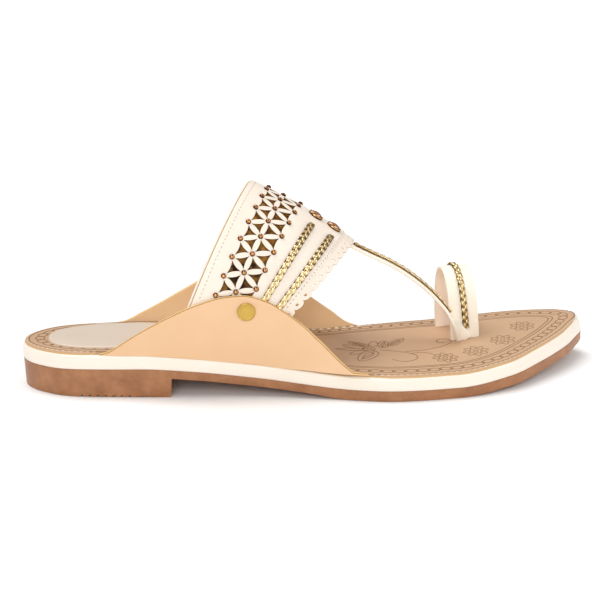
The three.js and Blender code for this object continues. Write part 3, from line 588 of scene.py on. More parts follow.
def heelPadPiece():
    turn = fullTurn(144)
    power = 2 / heelPad["squareness"]
    reach = np.array([(heelPad["to"] - heelPad["from"]) / 2, heelPad["half"]])
    outline = np.stack([np.cos(turn), np.sin(turn)], -1)
    outline = np.sign(outline) * np.abs(outline) ** power
    lift = np.array(heelPad["lift"]) * heelPad["thickness"]
    shrink = np.maximum(1 - np.array(heelPad["inset"])[:, None, None] / reach, 0)
    plan = outline * reach * shrink + np.array([(heelPad["from"] + heelPad["to"]) / 2, 0])
    z = insoleTop(plan[..., 0]) + lift[:, None]
    grid = np.concatenate([plan, z[..., None]], -1)
    addPiece("heel_pad", [{"points": grid}], [padLeather], ["heel_patch"], 60)


# The last under the upper: flat sections that lean forward as they climb and run forward to the inner side
last = {
    "sections": {
        "at": [38, 70, 94, 124, 160],
        "crest": [77, 68, 59.6, 46.4, 30],
        "ridge": [1, 1.5, 2, 2.5, 3],
        "outer": [25, 33.5, 35, 37.5, 46],
        "inner": [24, 28.5, 29.5, 29.5, 31],
    },
    "shoulderShare": 0.42,
    "lean": 0.42,
    "skew": 0.28,
    "footReach": 28,
    "footInset": 4.1,
}
crest = smoothTable(last["sections"], "crest")
ridge = smoothTable(last["sections"], "ridge")
outerBreadth = smoothTable(last["sections"], "outer")
innerBreadth = smoothTable(last["sections"], "inner")


def shoulder(at):
    return last["shoulderShare"] * crest(at)


# Point of the last: a quarter ellipse from the ridge (around 0) to each shoulder (around 0.5), then a wall
# whose width follows a parabola in to the sole's edge (around 1)
def lastPoint(at, around):
    at, around = np.broadcast_arrays(np.asarray(at, float), np.asarray(around, float))
    side = np.where(around < 0, -1, 1)
    breadth = np.where(around < 0, outerBreadth(at), innerBreadth(at))
    share = 2 * np.abs(around)
    low = shoulder(at)
    angle = np.clip(share, 0, 1) * np.pi / 2
    down = np.clip(share - 1, 0, 1)
    reach = at + side * last["skew"] * last["footReach"]
    foot = np.where(side < 0, soleEdge(reach, -1), soleEdge(reach, 1)) - side * last["footInset"]
    wide = ridge(at) + side * breadth
    height = np.where(share <= 1, low + (crest(at) - low) * np.cos(angle), low * (1 - down))
    y = np.where(share <= 1, ridge(at) + side * breadth * np.sin(angle), wide + (foot - wide) * down**2)
    x = at + last["skew"] * y
    return np.stack([x + last["lean"] * height, y, soleTop(x) + height], -1)


# Outward normal: the cross product of small steps along and across the foot
def lastNormal(at, around):
    step = 0.01
    alongFoot = lastPoint(at + step, around) - lastPoint(at - step, around)
    acrossFoot = lastPoint(at, around + step) - lastPoint(at, around - step)
    return unit(np.cross(alongFoot, acrossFoot))


def onLast(at, around, lift):
    return lastPoint(at, around) + np.asarray(lift)[..., None] * lastNormal(at, around)


# Section and place on the last that lie at a distance along the foot and a height, on one side
def placeBeside(x, height, side):
    at = x - last["lean"] * height - side * last["skew"] * last["footReach"]
    for sweep in range(8):
        low = shoulder(at)
        above = np.arccos(np.clip((height - low) / (crest(at) - low), -1, 1)) / np.pi
        around = side * np.where(height <= low, 1 - height / (2 * low), above)
        at = at + x - lastPoint(at, around)[..., 0]
    return at, around


# Side panels: from the midsole up to a curved top edge, just outside the vamp
panels = {
    "outer": {
        "at": [33, 37, 43, 49.5, 62, 73, 85, 93, 102.5]
        + [109, 114.3, 118.3, 122.6, 127.3, 131, 135.5, 138.5, 144],
        "height": [0.9, 2.2, 6.2, 10.6, 18.2, 24, 27.9, 28.7, 26.9]
        + [23.8, 21, 18.4, 14.9, 11, 7.6, 3.8, 1.7, 0.9],
    },
    "inner": {
        "at": [35, 44, 53, 62, 72, 86, 101, 114, 130, 140, 148, 156],
        "height": [0.9, 2, 5.8, 10.2, 15.6, 22.8, 27.4, 25, 16, 10, 4, 0.9],
    },
    "lift": 2.1,
    "thickness": 1.6,
    "lip": 0.5,  # the rounded edge's rise over the flat cut
    "bevel": 0.75,  # the front edge's cut slants down to the outer face
    "bevelFrom": (108, 124),
    "leastHeight": 0.35,
    "cells": (180, 28),
}
panelHeights = {-1: smoothTable(panels["outer"], "height"), 1: smoothTable(panels["inner"], "height")}


# Soft creases of the outer and inner panel: shallow troughs, each a bell across and along its own line
panelCreases = [
    {"side": -1, "at": 60, "height": 9, "turn": 38, "length": 13, "breadth": 3.2, "depth": 0.2},
    {"side": -1, "at": 113, "height": 9, "turn": -34, "length": 15, "breadth": 3.6, "depth": 0.18},
    {"side": -1, "at": 86, "height": 4.5, "turn": 3, "length": 24, "breadth": 2.6, "depth": 0.14},
    {"side": 1, "at": 70, "height": 8, "turn": 32, "length": 13, "breadth": 3.2, "depth": 0.2},
    {"side": 1, "at": 122, "height": 9, "turn": -30, "length": 15, "breadth": 3.6, "depth": 0.18},
]


def creaseDepth(x, height, side):
    depth = 0 * x * height
    for crease in (c for c in panelCreases if c["side"] == side):
        turn = np.radians(crease["turn"])
        dx, dz = x - crease["at"], height - crease["height"]
        along = (dx * np.cos(turn) + dz * np.sin(turn)) / crease["length"]
        across = (dz * np.cos(turn) - dx * np.sin(turn)) / crease["breadth"]
        depth = depth + crease["depth"] * np.exp(-along**2 - across**2)
    return depth


def panelHeight(at, side):
    return np.where(side < 0, panelHeights[-1](at), panelHeights[1](at))


# Outer and inner face are the last at two lifts, from the sole up to the edge; half an ellipse joins them
def panelPiece(side, name, node):
    edge = panels["outer" if side < 0 else "inner"]
    along, up = (np.linspace(0, 1, cells + 1) for cells in panels["cells"])
    x = edge["at"][0] + (edge["at"][-1] - edge["at"][0]) * along[:, None]
    height = np.maximum(panelHeights[side](x) - panels["lip"], panels["leastHeight"]) * up
    inner = onLast(*placeBeside(x + 0 * up, height, side), panels["lift"] + 0 * height)
    bevel = panels["bevel"] * smoothStep(x, *panels["bevelFrom"])
    height = np.maximum(panelHeights[side](x) - panels["lip"] - bevel, panels["leastHeight"]) * up
    lift = panels["lift"] + panels["thickness"] - creaseDepth(x, height, side)
    outer = onLast(*placeBeside(x + 0 * up, height, side), lift)
    middle, half = (outer + inner)[:, -1:] / 2, (outer - inner)[:, -1:] / 2
    rising = unit(outer[:, -1:] - outer[:, -3:-2]) * panels["lip"]
    turn = np.linspace(0, np.pi, 9)[1:-1, None]
    lip = middle + np.cos(turn) * half + np.sin(turn) * rising
    loop = np.concatenate([outer, lip, inner[:, ::-1], outer[:, :1]], 1)
    loop[..., 2] = np.maximum(loop[..., 2], soleTop(loop[..., 0]) - 0.05)
    rises = outer.shape[1] - 1
    finish = np.repeat([0, 3, 1, 2, 1], [rises, 2, lip.shape[1] - 1, rises, 1])
    grid = {"points": closeEnds(loop), "finish": finish}
    addPiece(name, [grid], [tanLeather, paleEdge, tanLining, edgeLine], [node], 50)


# Vamp band: place on it from a share of its width (back edge 0, scallop tips 1) and the last's "around"
vamp = {
    "backAt": 68.8,
    "frontAt": 124.6,
    "outerSweep": 11.2,
    "innerSweep": 15,
    "sweepStart": 0.45,
    "sweepPower": 0.64,
    "sweepBend": 2,
    "tuck": 10,
    "thickness": 1.8,
    "liningThickness": 0.55,
    "liningEdge": 1.0,  # lining left showing behind the vamp's back edge
    "frontFold": 5.4,  # folded front edge, behind the scallop tips
}
vampWidth = vamp["frontAt"] - vamp["backAt"]


# Section of the last: share of the width from the back edge, less a sweep by a power of the way round
def vampAt(share, around):
    swept = np.maximum(0, (share - vamp["sweepStart"]) / (1 - vamp["sweepStart"])) ** vamp["sweepPower"]
    sweep = np.where(around < 0, vamp["outerSweep"], vamp["innerSweep"])
    return vamp["backAt"] + vampWidth * share - sweep * swept * np.abs(2 * around) ** vamp["sweepBend"]


# Height of a place on the vamp above the panel's top edge on its side
def abovePanel(share, around):
    at = vampAt(share, around)
    point = lastPoint(at, around)
    foot = point[..., 0] - last["lean"] * shoulder(at)
    return point[..., 2] - soleTop(foot) - panelHeight(point[..., 0], around)


chart = {"shares": (-0.04, 1.04, 55), "distances": (-96, 96, 385), "arounds": (-0.95, 0.95, 761)}


# Chart of the vamp: for each share, the "around" at each distance from the ridge along the surface
def vampChart():
    shares, distances, arounds = (np.linspace(*chart[key]) for key in ("shares", "distances", "arounds"))
    at = vampAt(shares[:, None], arounds)
    lengths = runLength(onLast(at, arounds + 0 * at, vamp["thickness"] + 0 * at))
    lengths -= lengths[:, len(arounds) // 2][:, None]
    table = np.stack([np.interp(distances, row, arounds) for row in lengths])
    hidden = abovePanel(shares[:, None], arounds) < -vamp["tuck"]
    outerEnd = np.where(hidden & (arounds < -0.3), lengths, -np.inf).max(1)
    innerEnd = np.where(hidden & (arounds > 0.3), lengths, np.inf).min(1)
    return shares, distances, table, outerEnd, innerEnd


chartShares, chartDistances, chartAround, chartOuterEnd, chartInnerEnd = vampChart()


# Chart read between its four nearest entries
def vampAround(share, distance):
    row = (share - chartShares[0]) / (chartShares[1] - chartShares[0])
    row = np.clip(row, 0, len(chartShares) - 1.001)
    column = (distance - chartDistances[0]) / (chartDistances[1] - chartDistances[0])
    column = np.clip(column, 0, len(chartDistances) - 1.001)
    i, j = row.astype(int), column.astype(int)
    s, t = row - i, column - j
    low = chartAround[i, j] * (1 - t) + chartAround[i, j + 1] * t
    high = chartAround[i + 1, j] * (1 - t) + chartAround[i + 1, j + 1] * t
    return low * (1 - s) + high * s


# Point on the vamp: share of the band, distance from the ridge, lift off the last
def onVamp(share, distance, lift):
    share, distance, lift = np.broadcast_arrays(share, distance, lift)
    around = vampAround(share, distance)
    return onLast(vampAt(share, around), around, lift)


def shareOf(at):
    return (np.asarray(at, float) - vamp["backAt"]) / vampWidth


def vampEnd(share, side):
    return np.interp(share, chartShares, chartOuterEnd if side < 0 else chartInnerEnd)


# Flower lattice: three columns of nodes, a petal along every edge between them
lattice = {
    "pitch": 8.7,
    "offset": -2.9,
    "columns": {"rear": (78.3, -7, 6), "centre": (86, -7.5, 6.5), "front": (94.6, -7, 6)},
    "petalHalfWidth": 1.3,
    "nodeClearance": 1.55,
    "sideSteps": 10,
    "petalDrop": 0.18,  # petals are a little domed
    "edgeRound": 0.22,
    "endSteps": 12,
    "endGap": 2,  # least run from the last nodes to the tucked ends
}


# Nodes of a column: their numbers times the pitch, plus the offset
def latticeNodes(name):
    at, first, lastNode = lattice["columns"][name]
    place = np.arange(first, lastNode + 0.5) * lattice["pitch"] + lattice["offset"]
    return np.stack([np.full(len(place), at), place], -1)


# Triangles of nodes between an outer column and the centre one: two on the column or two on the centre
def latticeTriangles():
    centre = latticeNodes("centre")
    sets = []
    for name in ("rear", "front"):
        edge = latticeNodes(name)
        sets.append(np.stack([edge[:-1], edge[1:], centre[1:-1]], 1))
        sets.append(np.stack([edge, centre[:-1], centre[1:]], 1))
    return np.concatenate(sets)


# Cells with a hole: rings between a closed outer outline and a hole outline, over the top from outside in,
# down the hole's wall and back out underneath
def holedCells(outer, hole, ringShares, ringLifts):
    outer, hole = (closeLoop(outline)[:, None] for outline in (outer, hole))
    ring = np.asarray(ringShares)[None, :, None, None]
    plan = outer * (1 - ring) + hole * ring
    lift = np.broadcast_to(np.asarray(ringLifts)[None, :, None], plan.shape[:-1])
    return onVamp(shareOf(plan[..., 0]), plan[..., 1], lift)


# Sides of a hole: a parabola from tip to tip through the petal's waist
def latticeCells():
    corner = latticeTriangles()
    following = np.roll(corner, -1, 1)
    centre = corner.mean(1, keepdims=True)
    tip = corner + lattice["nodeClearance"] * unit(centre - corner)
    nextTip = np.roll(tip, -1, 1)
    edgeMiddle = (corner + following) / 2
    waist = edgeMiddle + lattice["petalHalfWidth"] * unit(centre - edgeMiddle)
    t = np.arange(lattice["sideSteps"])[:, None] / lattice["sideSteps"]
    outer = corner[:, :, None] * (1 - t) + following[:, :, None] * t
    control = 2 * waist - (tip + nextTip) / 2
    tip, control, nextTip = (part[:, :, None] for part in (tip, control, nextTip))
    hole = tip * (1 - t) ** 2 + 2 * control * t * (1 - t) + nextTip * t**2
    count = len(corner)
    top, low = vamp["thickness"], vamp["liningThickness"]
    drop, rounding = lattice["petalDrop"], lattice["edgeRound"]
    shares = [0, 0.3, 0.55, 0.75, 0.88, 0.96, 1, 1, 0.5, 0]
    lifts = [top, top - 0.09 * drop, top - 0.3 * drop, top - 0.56 * drop, top - 0.8 * drop,
             top - drop - 0.35 * rounding, top - drop - rounding, low, low, low]
    return holedCells(outer.reshape(count, -1, 2), hole.reshape(count, -1, 2), shares, lifts)


# Distances along the vamp: the lattice's own steps between its end nodes, then out to the tucked ends
def vampDistances(share, column):
    _, first, lastNode = lattice["columns"][column]
    steps = int(lastNode - first) * lattice["sideSteps"]
    number = first + (lastNode - first) * np.arange(steps + 1) / steps
    nodes = number * lattice["pitch"] + lattice["offset"]
    out = np.arange(1, lattice["endSteps"] + 1) / lattice["endSteps"]
    share = share[:, None]
    gap = lattice["endGap"]
    outer = nodes[0] + (np.minimum(vampEnd(share, -1), nodes[0] - gap) - nodes[0]) * out[::-1]
    inner = nodes[-1] + (np.maximum(vampEnd(share, 1), nodes[-1] + gap) - nodes[-1]) * out
    return np.concatenate([outer, np.broadcast_to(nodes, (len(share), len(nodes))), inner], 1)


# A strip of the vamp beside the lattice: over the top to its free edge, round it and back underneath; its
# two tucked ends thin to nothing
def vampStrip(shares, lifts, column):
    shares, lifts = np.asarray(shares, float), np.asarray(lifts, float)
    distance = vampDistances(shares, column)
    middle = (vamp["thickness"] + vamp["liningThickness"]) / 2
    keep = np.ones(distance.shape[1])
    keep[[0, -1]] = 0
    return onVamp(shares[:, None], distance, middle + (lifts[:, None] - middle) * keep)


# Closes the band below the last triangles, down to the tucked end
def latticeEnd(side):
    names = ("rear", "centre", "front")
    nodes = [latticeNodes(name)[0 if side < 0 else -1] for name in names]
    t = np.arange(lattice["sideSteps"] + 1)[:, None] / lattice["sideSteps"]
    rim = np.concatenate([nodes[0] * (1 - t) + nodes[1] * t, (nodes[1] * (1 - t) + nodes[2] * t)[1:]])
    share = shareOf(rim[:, 0])
    end = vampEnd(share, side)
    gap, steps = lattice["endGap"], lattice["endSteps"]
    end = np.minimum(end, rim[:, 1] - gap) if side < 0 else np.maximum(end, rim[:, 1] + gap)
    out = np.arange(steps + 1) / steps
    out = np.concatenate([out, out[::-1]])[:, None]
    lift = np.repeat([vamp["thickness"], vamp["liningThickness"]], steps + 1)
    lift[[steps, steps + 1]] = (vamp["thickness"] + vamp["liningThickness"]) / 2
    return onVamp(share, rim[:, 1] + (end - rim[:, 1]) * out, lift[:, None])


# Strips behind the lattice and in front of it, the closed ends and the cells between
def vampPiece():
    top, low = vamp["thickness"], vamp["liningThickness"]
    rear, front = shareOf(lattice["columns"]["rear"][0]), shareOf(lattice["columns"]["front"][0])
    back, fold = vamp["liningEdge"] / vampWidth, 1 - vamp["frontFold"] / vampWidth
    step = 0.25 / vampWidth
    backShares = [*np.linspace(rear, back + 2 * step, 8), back + step, back + 0.2 * step, back, back]
    backShares += [back + step, rear]
    backLifts = [*np.full(8, top), top - 0.04, top - 0.14, top - 0.35, low + 0.1, low, low]
    frontShares = [*np.linspace(front, fold - 3 * step, 26), fold - step, fold, fold + 0.4 * step, fold]
    frontShares += [fold - step, front]
    frontLifts = [*np.full(26, top), top - 0.12, top - 0.4, top - 0.75, low + 0.15, low, low]
    backFinish = np.repeat([0, 1, 0], [8, 2, 3])[:, None]
    strips = [
        {"points": vampStrip(backShares, backLifts, "rear"), "finish": backFinish},
        {"points": vampStrip(frontShares, frontLifts, "front")},
        {"points": latticeEnd(-1)},
        {"points": latticeEnd(1)},
    ]
    cells = latticeCells()
    # The hole's rounded edge and wall take the darker wall finish, painted shade
    rows = np.tile([0, 0, 0, 0, 0, 2, 2, 0, 0], len(cells))[:, None]
    strips.append({"points": cells, "finish": rows})
    addPiece("vamp_band", strips, [ivoryLeather, cutEdge, shadedHoleWall], ["upper"], 45)


# Lining: bronze foil behind the cut-outs, beige against the foot, folded up into a narrow ivory back edge
lining = {"foil": 0.5, "foldHeight": 1.1}


def liningPiece():
    fold = 1 - vamp["frontFold"] / vampWidth
    edge = vamp["liningEdge"] / vampWidth
    foil, high = lining["foil"], lining["foldHeight"]
    flat = np.linspace(fold, 0.06, 30)
    turnedUp = edge * np.array([1.8, 0.9, 0.85, 0.5, 0.12, 0, 0.1, 0.5])
    shares = [*flat, *turnedUp, *flat[::-1], fold]
    lifts = [*np.full(32, foil), high, high, 0.85 * high, 0.5 * high, 0.12 * high, *np.zeros(31), foil]
    shares, lifts = np.array(shares)[:, None], np.array(lifts)[:, None]
    across = np.linspace(0, 1, 221)
    outer, inner = vampEnd(shares, -1), vampEnd(shares, 1)
    keep = np.ones(len(across))
    keep[[0, -1]] = 0
    grid = onVamp(shares, outer + (inner - outer) * across, foil / 2 + (lifts - foil / 2) * keep)
    finish = np.repeat([0, 2, 1], [32, 5, len(lifts) - 38])[:, None]
    skins = [bronzeLining, liningBeige, ivoryLeather]
    addPiece("vamp_lining", [{"points": grid, "finish": finish}], skins, (), 60)


# Scalloped edging under the vamp's front fold: one round tab each, with a punched hole
scallop = {
    "pitch": 5.6,
    "shift": 1.0,  # of the whole row, towards the inner side
    "depth": 2.3,
    "hole": 0.72,
    "holeBehindTip": 2.7,
    "top": 1.4,
    "under": 0.6,
    "reach": 9,
    "tabs": 14,  # tried on each side of the middle one
    "hiddenBelow": -4,  # under the panel's top edge
}


# A tab's outline: half an ellipse at the front, straight sides and back; the hole is a circle seen from its
# own centre in the same directions
def scallopPiece():
    pitch, depth = scallop["pitch"], scallop["depth"]
    spot = np.arange(-scallop["tabs"], scallop["tabs"] + 1) * pitch + scallop["shift"]
    shown = abovePanel(1.0, vampAround(np.ones(len(spot)), spot)) > scallop["hiddenBelow"]
    middle = np.array([0, 1]) * spot[shown, None, None] + np.array([vamp["frontAt"], 0])
    turn = np.linspace(-np.pi / 2, np.pi / 2, 19)
    front = np.stack([-depth * (1 - np.cos(turn)), np.sin(turn) * pitch / 2], -1)
    down = np.linspace(-depth, -scallop["reach"], 7)[1:]
    back = np.linspace(pitch / 2, -pitch / 2, 9)[1:]
    rightSide = np.stack([down, np.full(6, pitch / 2)], -1)
    rear = np.stack([np.full(8, -scallop["reach"]), back], -1)
    leftSide = np.stack([down[::-1][1:], np.full(5, -pitch / 2)], -1)
    outline = np.concatenate([front, rightSide, rear, leftSide])
    centre = np.array([-scallop["holeBehindTip"], 0])
    hole = centre + scallop["hole"] * unit(outline - centre)
    top, low = scallop["top"], scallop["under"]
    shares = [0, 0.35, 0.65, 0.88, 0.96, 1, 1, 0.5, 0]
    lifts = [top, top, top, top, top - 0.05, top - 0.15, low, low, low]
    cells = holedCells(middle + outline, middle + hole, shares, lifts)
    rim = (middle + front)[:, None]
    level = np.array([top, top - 0.1, low + 0.1, low])[None, :, None]
    wall = onVamp(shareOf(rim[..., 0]), rim[..., 1], np.broadcast_to(level, (len(rim), 4, len(front))))
    grids = [{"points": cells}, {"points": wall}]
    addPiece("scallop_trim", grids, [trimLeather], (), 40)


# Place and directions on the last: point, along the foot, across, outwards
def lastFrames(at, around, lift):
    outwards = lastNormal(at, around)
    along = lastPoint(at + 0.5, around) - lastPoint(at - 0.5, around)
    along = unit(along - (along * outwards).sum(-1, keepdims=True) * outwards)
    return onLast(at, around, lift + 0 * at), along, np.cross(outwards, along), outwards


def vampFrames(share, distance, lift):
    share, distance = np.broadcast_arrays(np.asarray(share, float), np.asarray(distance, float))
    around = vampAround(share, distance)
    return lastFrames(vampAt(share, around), around, lift)


# Shape turned about its own axis: radius and height of each row, carried to every place given
def turnedGrids(profile, frames, columns, oval=(1, 1), halfStep=False):
    point, along, across, outwards = (part[:, None, None] for part in frames)
    turn = fullTurn(columns)
    radius, height = np.array(profile).T[..., None]
    if halfStep:
        turn = turn + np.pi / columns * (np.arange(len(profile)) % 2)[:, None]
    a, b = radius * np.cos(turn) * oval[0], radius * np.sin(turn) * oval[1]
    c = height + 0 * a
    points = point + a[..., None] * along + b[..., None] * across + c[..., None] * outwards
    # The height share goes to the UV, which the metals paint from shaded foot to highlighted top
    shine = height / np.max(height) + 0 * turn
    return {"points": points, "uv": np.stack([turn / (2 * np.pi) + 0 * shine, shine], -1)}


# Rivets: small domes on every node of the lattice that stands clear of the panels
rivet = {
    "profile": [(0, 0), (1.14, 0), (1.17, 0.2), (1.08, 0.56), (0.84, 0.88), (0.48, 1.08), (0, 1.15)],
    "clear": 0.8,
    "sink": 0.05,
}


def rivetPiece():
    nodes = np.concatenate([latticeNodes(name) for name in lattice["columns"]])
    share = shareOf(nodes[:, 0])
    shown = abovePanel(share, vampAround(share, nodes[:, 1])) > rivet["clear"]
    frames = vampFrames(share[shown], nodes[shown, 1], vamp["thickness"] - rivet["sink"])
    domes = turnedGrids(rivet["profile"], frames, 20)
    addPiece("lattice_rivets", [domes], [copperRivet], (), 50)


# Stones: an oval cup with a beaded rim holds a cut stone whose facet rows are turned by half a step
stones = {
    "rows": {"rear": 0.62, "front": 0.795},
    "offset": -2.5,
    "half": (3.4, 2.8),
    "cup": [(0, 0), (0.98, 0), (1.0, 0.35), (0.98, 0.85), (0.94, 1.0), (0.9, 0.95), (0.87, 0.4), (0, 0.4)],
    "gem": [(0, 0.45), (0.83, 0.5), (0.86, 0.95), (0.68, 1.5), (0.38, 1.85), (0, 1.9)],
    "facets": 10,
    "beads": 26,
    "beadSize": 0.22,
    "beadRing": 0.93,  # as a share of the cup's half widths
    "beadHeight": 0.95,
}


def stonePieces(name):
    share = np.array([stones["rows"][name]])
    frames = vampFrames(share, np.array([stones["offset"]]), vamp["thickness"])
    cup = turnedGrids(stones["cup"], frames, 48, stones["half"])
    turn = fullTurn(stones["beads"])[:-1, None]
    point, along, across, outwards = frames
    half = stones["half"]
    oval = half[0] * np.cos(turn) * along + half[1] * np.sin(turn) * across
    rim = point + stones["beadRing"] * oval + stones["beadHeight"] * outwards
    size = stones["beadSize"]
    beadFrames = [rim] + [np.broadcast_to(d, rim.shape) for d in (along, across, outwards)]
    bead = [(size * np.sin(a), -size * np.cos(a)) for a in np.linspace(0, np.pi, 6)]
    beads = turnedGrids(bead, beadFrames, 10)
    addPiece("setting_" + name, [cup, beads], [goldSetting],
             ["stone_" + name + "_setting"], 40)
    gem = turnedGrids(stones["gem"], frames, stones["facets"], half, True)
    addPiece("stone_" + name + "_gem", [gem], [amberStone], ["stone_" + name], 4)


# Badge: a plain round plate with a fine raised rim
badge = {
    "at": 93.6,
    "height": 22.5,
    "profile": [(0, 0), (3.75, 0), (3.8, 0.3), (3.78, 0.75), (3.6, 1.0), (3.35, 1.02), (3.15, 0.82),
                (3.0, 0.78), (1.5, 0.86), (0, 0.88)],
    "sink": 0.05,
}


def badgePiece():
    at, around = placeBeside(np.array([float(badge["at"])]), np.array([badge["height"]]), -1)
    frames = lastFrames(at, around, panels["lift"] + panels["thickness"] - badge["sink"])
    disc = turnedGrids(badge["profile"], frames, 72)
    addPiece("badge_plate", [disc], [brassPlate], ["badge"], 40)


# Bands: centre strap and toe ring as a rounded section carried along a path
strap = {
    "path": {
        "x": [130.5, 141.5, 152, 161.5, 170.5, 179.5, 186.5, 191.3, 195.5],
        "y": [2.2, 2.3, 2.4, 2.4, 2.2, 1.4, -0.4, -2.2, -0.3],
        "z": [66.5, 58.1, 52.5, 47.8, 42, 34.3, 26.2, 19.6, 12],
        "turn": [2, 5, 8, 9, 8, 4, -1, 26, 84],
    },
    "width": (6.6, 7.4),
    "thickness": 1.5,
    "braid": (0.165, 0.78),
    "braidShift": (-0.6, -0.3),  # sideways off the middle line, at its first and last end
}
toeRing = {
    "outerFoot": (196.4, 1.6),
    "innerFoot": (194.8, 26),
    "height": 31.1,
    "lean": 2,
    "width": 13.3,
    "thickness": 1.7,
    "squareness": 0.86,
    "footDepth": 0.7,
    "braid": (0.044, 0.955),
    "braidShift": (-0.4, 1.2),
}


# Curve through points, each stretch a cubic whose end speeds weigh the neighbours by the root of distance
def pathThrough(points, share):
    points = np.asarray(points, float)
    full = np.concatenate([2 * points[:1] - points[1:2], points, 2 * points[-1:] - points[-2:-1]])
    place = np.clip(share, 0, 1) * (len(points) - 1)
    i = np.minimum(place.astype(int), len(points) - 2)
    t = (place - i)[:, None]
    a, b, c, d = (full[i + k] for k in range(4))
    gaps = (b - a, c - b, d - c)
    ab, bc, cd = (np.sqrt(np.linalg.norm(gap, axis=-1, keepdims=True)) for gap in gaps)
    leave = ((b - a) / ab - (c - a) / (ab + bc) + (c - b) / bc) * bc
    arrive = ((c - b) / bc - (d - b) / (bc + cd) + (d - c) / cd) * bc
    return (b * (1 + 2 * t) * (1 - t) ** 2 + c * (3 - 2 * t) * t**2
            + leave * t * (1 - t) ** 2 - arrive * (1 - t) * t**2)


# Strap: level sideways direction turned about the path by the table's angle
def strapFrames(share):
    path = strap["path"]
    points = np.stack([path["x"], path["y"], path["z"]], -1)
    middle = pathThrough(points, share)
    forward = unit(pathThrough(points, share + 1e-4) - pathThrough(points, share - 1e-4))
    level = unit(np.array([0, 1, 0]) - forward[:, 1:2] * forward)
    stations = np.linspace(0, 1, len(path["turn"]))
    turn = np.radians(smoothTable({"at": stations, "turn": path["turn"]}, "turn")(share))[:, None]
    sideways = level * np.cos(turn) + np.cross(forward, level) * np.sin(turn)
    width = strap["width"][0] + (strap["width"][1] - strap["width"][0]) * share
    return middle, sideways, np.cross(forward, sideways), width


# Ring: half a superellipse standing on its two feet, leaning back at the top
def ringFrames(share):
    outer, inner = np.array(toeRing["outerFoot"]), np.array(toeRing["innerFoot"])
    across = unit(inner - outer)
    reach = np.linalg.norm(inner - outer) / 2
    power = toeRing["squareness"]

    def spot(share):
        c, s = np.cos(np.pi * share), np.maximum(np.sin(np.pi * share), 0)
        plan = (outer + inner) / 2 - (reach * np.sign(c) * np.abs(c) ** power)[:, None] * across
        rise = s**power
        x = plan[:, 0] - toeRing["lean"] * rise
        tall = toeRing["height"] + toeRing["footDepth"] - toeRing["thickness"] / 2
        return np.stack([x, plan[:, 1], insoleTop(x) - toeRing["footDepth"] + tall * rise], -1)

    step = 0.004
    forward = unit(spot(np.minimum(share + step, 1)) - spot(np.maximum(share - step, 0)))
    axis = np.array([-across[1], across[0], 0]) + 0 * forward
    return spot(share), axis, unit(np.cross(forward, axis)), np.full(len(share), toeRing["width"])


bandSection = {"fullness": 0.12, "squareness": 0.3, "footCut": 0.3}


# Section: a superellipse nearly a rectangle, its outer face a little full; feet end just under the insole
def bandPiece(name, frames, thickness, replaced):
    fullness, squareness = bandSection["fullness"], bandSection["squareness"]
    middle, sideways, outwards, width = frames
    turn = fullTurn(40)
    c, s = np.cos(turn), np.sin(turn)
    across = np.sign(c) * np.abs(c) ** squareness / 2
    out = np.sign(s) * np.abs(s) ** squareness / 2 * thickness + fullness * (1 - 4 * across**2) * (s > 0)
    loop = (middle[:, None] + (across * width[:, None])[..., None] * sideways[:, None]
            + out[:, None] * outwards[:, None])
    loop[..., 2] = np.maximum(loop[..., 2], insoleTop(loop[..., 0]) - bandSection["footCut"])
    inside = np.where(s[:-1] + s[1:] < -1.0, 1, 0)
    grid = {"points": closeEnds(loop), "finish": inside}
    addPiece(name, [grid], [lightenedBandLeather, lightenedRingLining], replaced, 60)


# Plait of three strands, a third of a turn apart: each sways across as the sine of its phase and rises as
# the sine of twice that phase, with an oval section
plait = {
    "wave": 9.9,
    "sway": 0.76,
    "rise": 0.4,
    "strand": (0.78, 0.5),
    "seat": 0.5,
    "step": 0.28,
    "shine": {"body": 0.44, "crossing": 0.36, "crown": 0.42},  # even, where a strand rises, on its top
    "vampShine": {"place": (0, 46), "tone": (-0.36, 0.22)},  # painted shade at the ridge, painted light lower down
    "bandShine": {"place": (2, 15), "tone": (-0.28, 0)},
}


def plaitPiece(name, middle, sideways, outwards, replaced, cord, wearAndShade):
    length = runLength(middle)
    even = np.linspace(0, length[-1], int(length[-1] / plait["step"]) + 2)
    middle, sideways, outwards = (alongLine(part, length, even) for part in (middle, sideways, outwards))
    phase = 2 * np.pi * (even / plait["wave"] + np.arange(3)[:, None] / 3)
    sway = plait["sway"] * np.sin(phase)
    rise = plait["seat"] + plait["rise"] * np.sin(2 * phase)
    core = middle + sway[..., None] * sideways + rise[..., None] * outwards
    forward = unit(np.gradient(core, axis=1))
    side = unit(np.cross(outwards, forward))
    up = np.cross(forward, side)
    turn = fullTurn(12)
    half = plait["strand"]
    tube = (core[:, :, None] + half[0] * np.cos(turn)[:, None] * side[:, :, None]
            + half[1] * np.sin(turn)[:, None] * up[:, :, None])
    caps = [np.broadcast_to(core[:, k][:, None, None], tube[:, :1].shape) for k in (0, -1)]
    tube = np.concatenate([caps[0], tube, caps[1]], 1)
    # Painted light on the strands: painted shade and light along the length from the table, a painted
    # highlight where a strand rises over another and on its top, painted shade where it dips under and on
    # its underside
    tone = plait["shine"]["body"] + np.interp(even, wearAndShade["place"], wearAndShade["tone"])[:, None]
    crossing = plait["shine"]["crossing"] * np.sin(2 * phase)[..., None]
    shine = tone + crossing + plait["shine"]["crown"] * np.sin(turn)
    dark = np.zeros_like(shine[:, :1])
    shine = np.concatenate([dark, shine, dark], 1)
    uv = np.stack([turn / (2 * np.pi) + 0 * shine, shine], -1)
    addPiece(name, [{"points": tube, "uv": uv}], [cord], replaced, 60)


braidRows = {"rear": 0.63, "front": 0.815, "start": 13.5, "farthest": 95, "step": 0.25, "tuck": -1.2}
bandSteps = {"band": 140, "braid": 240}


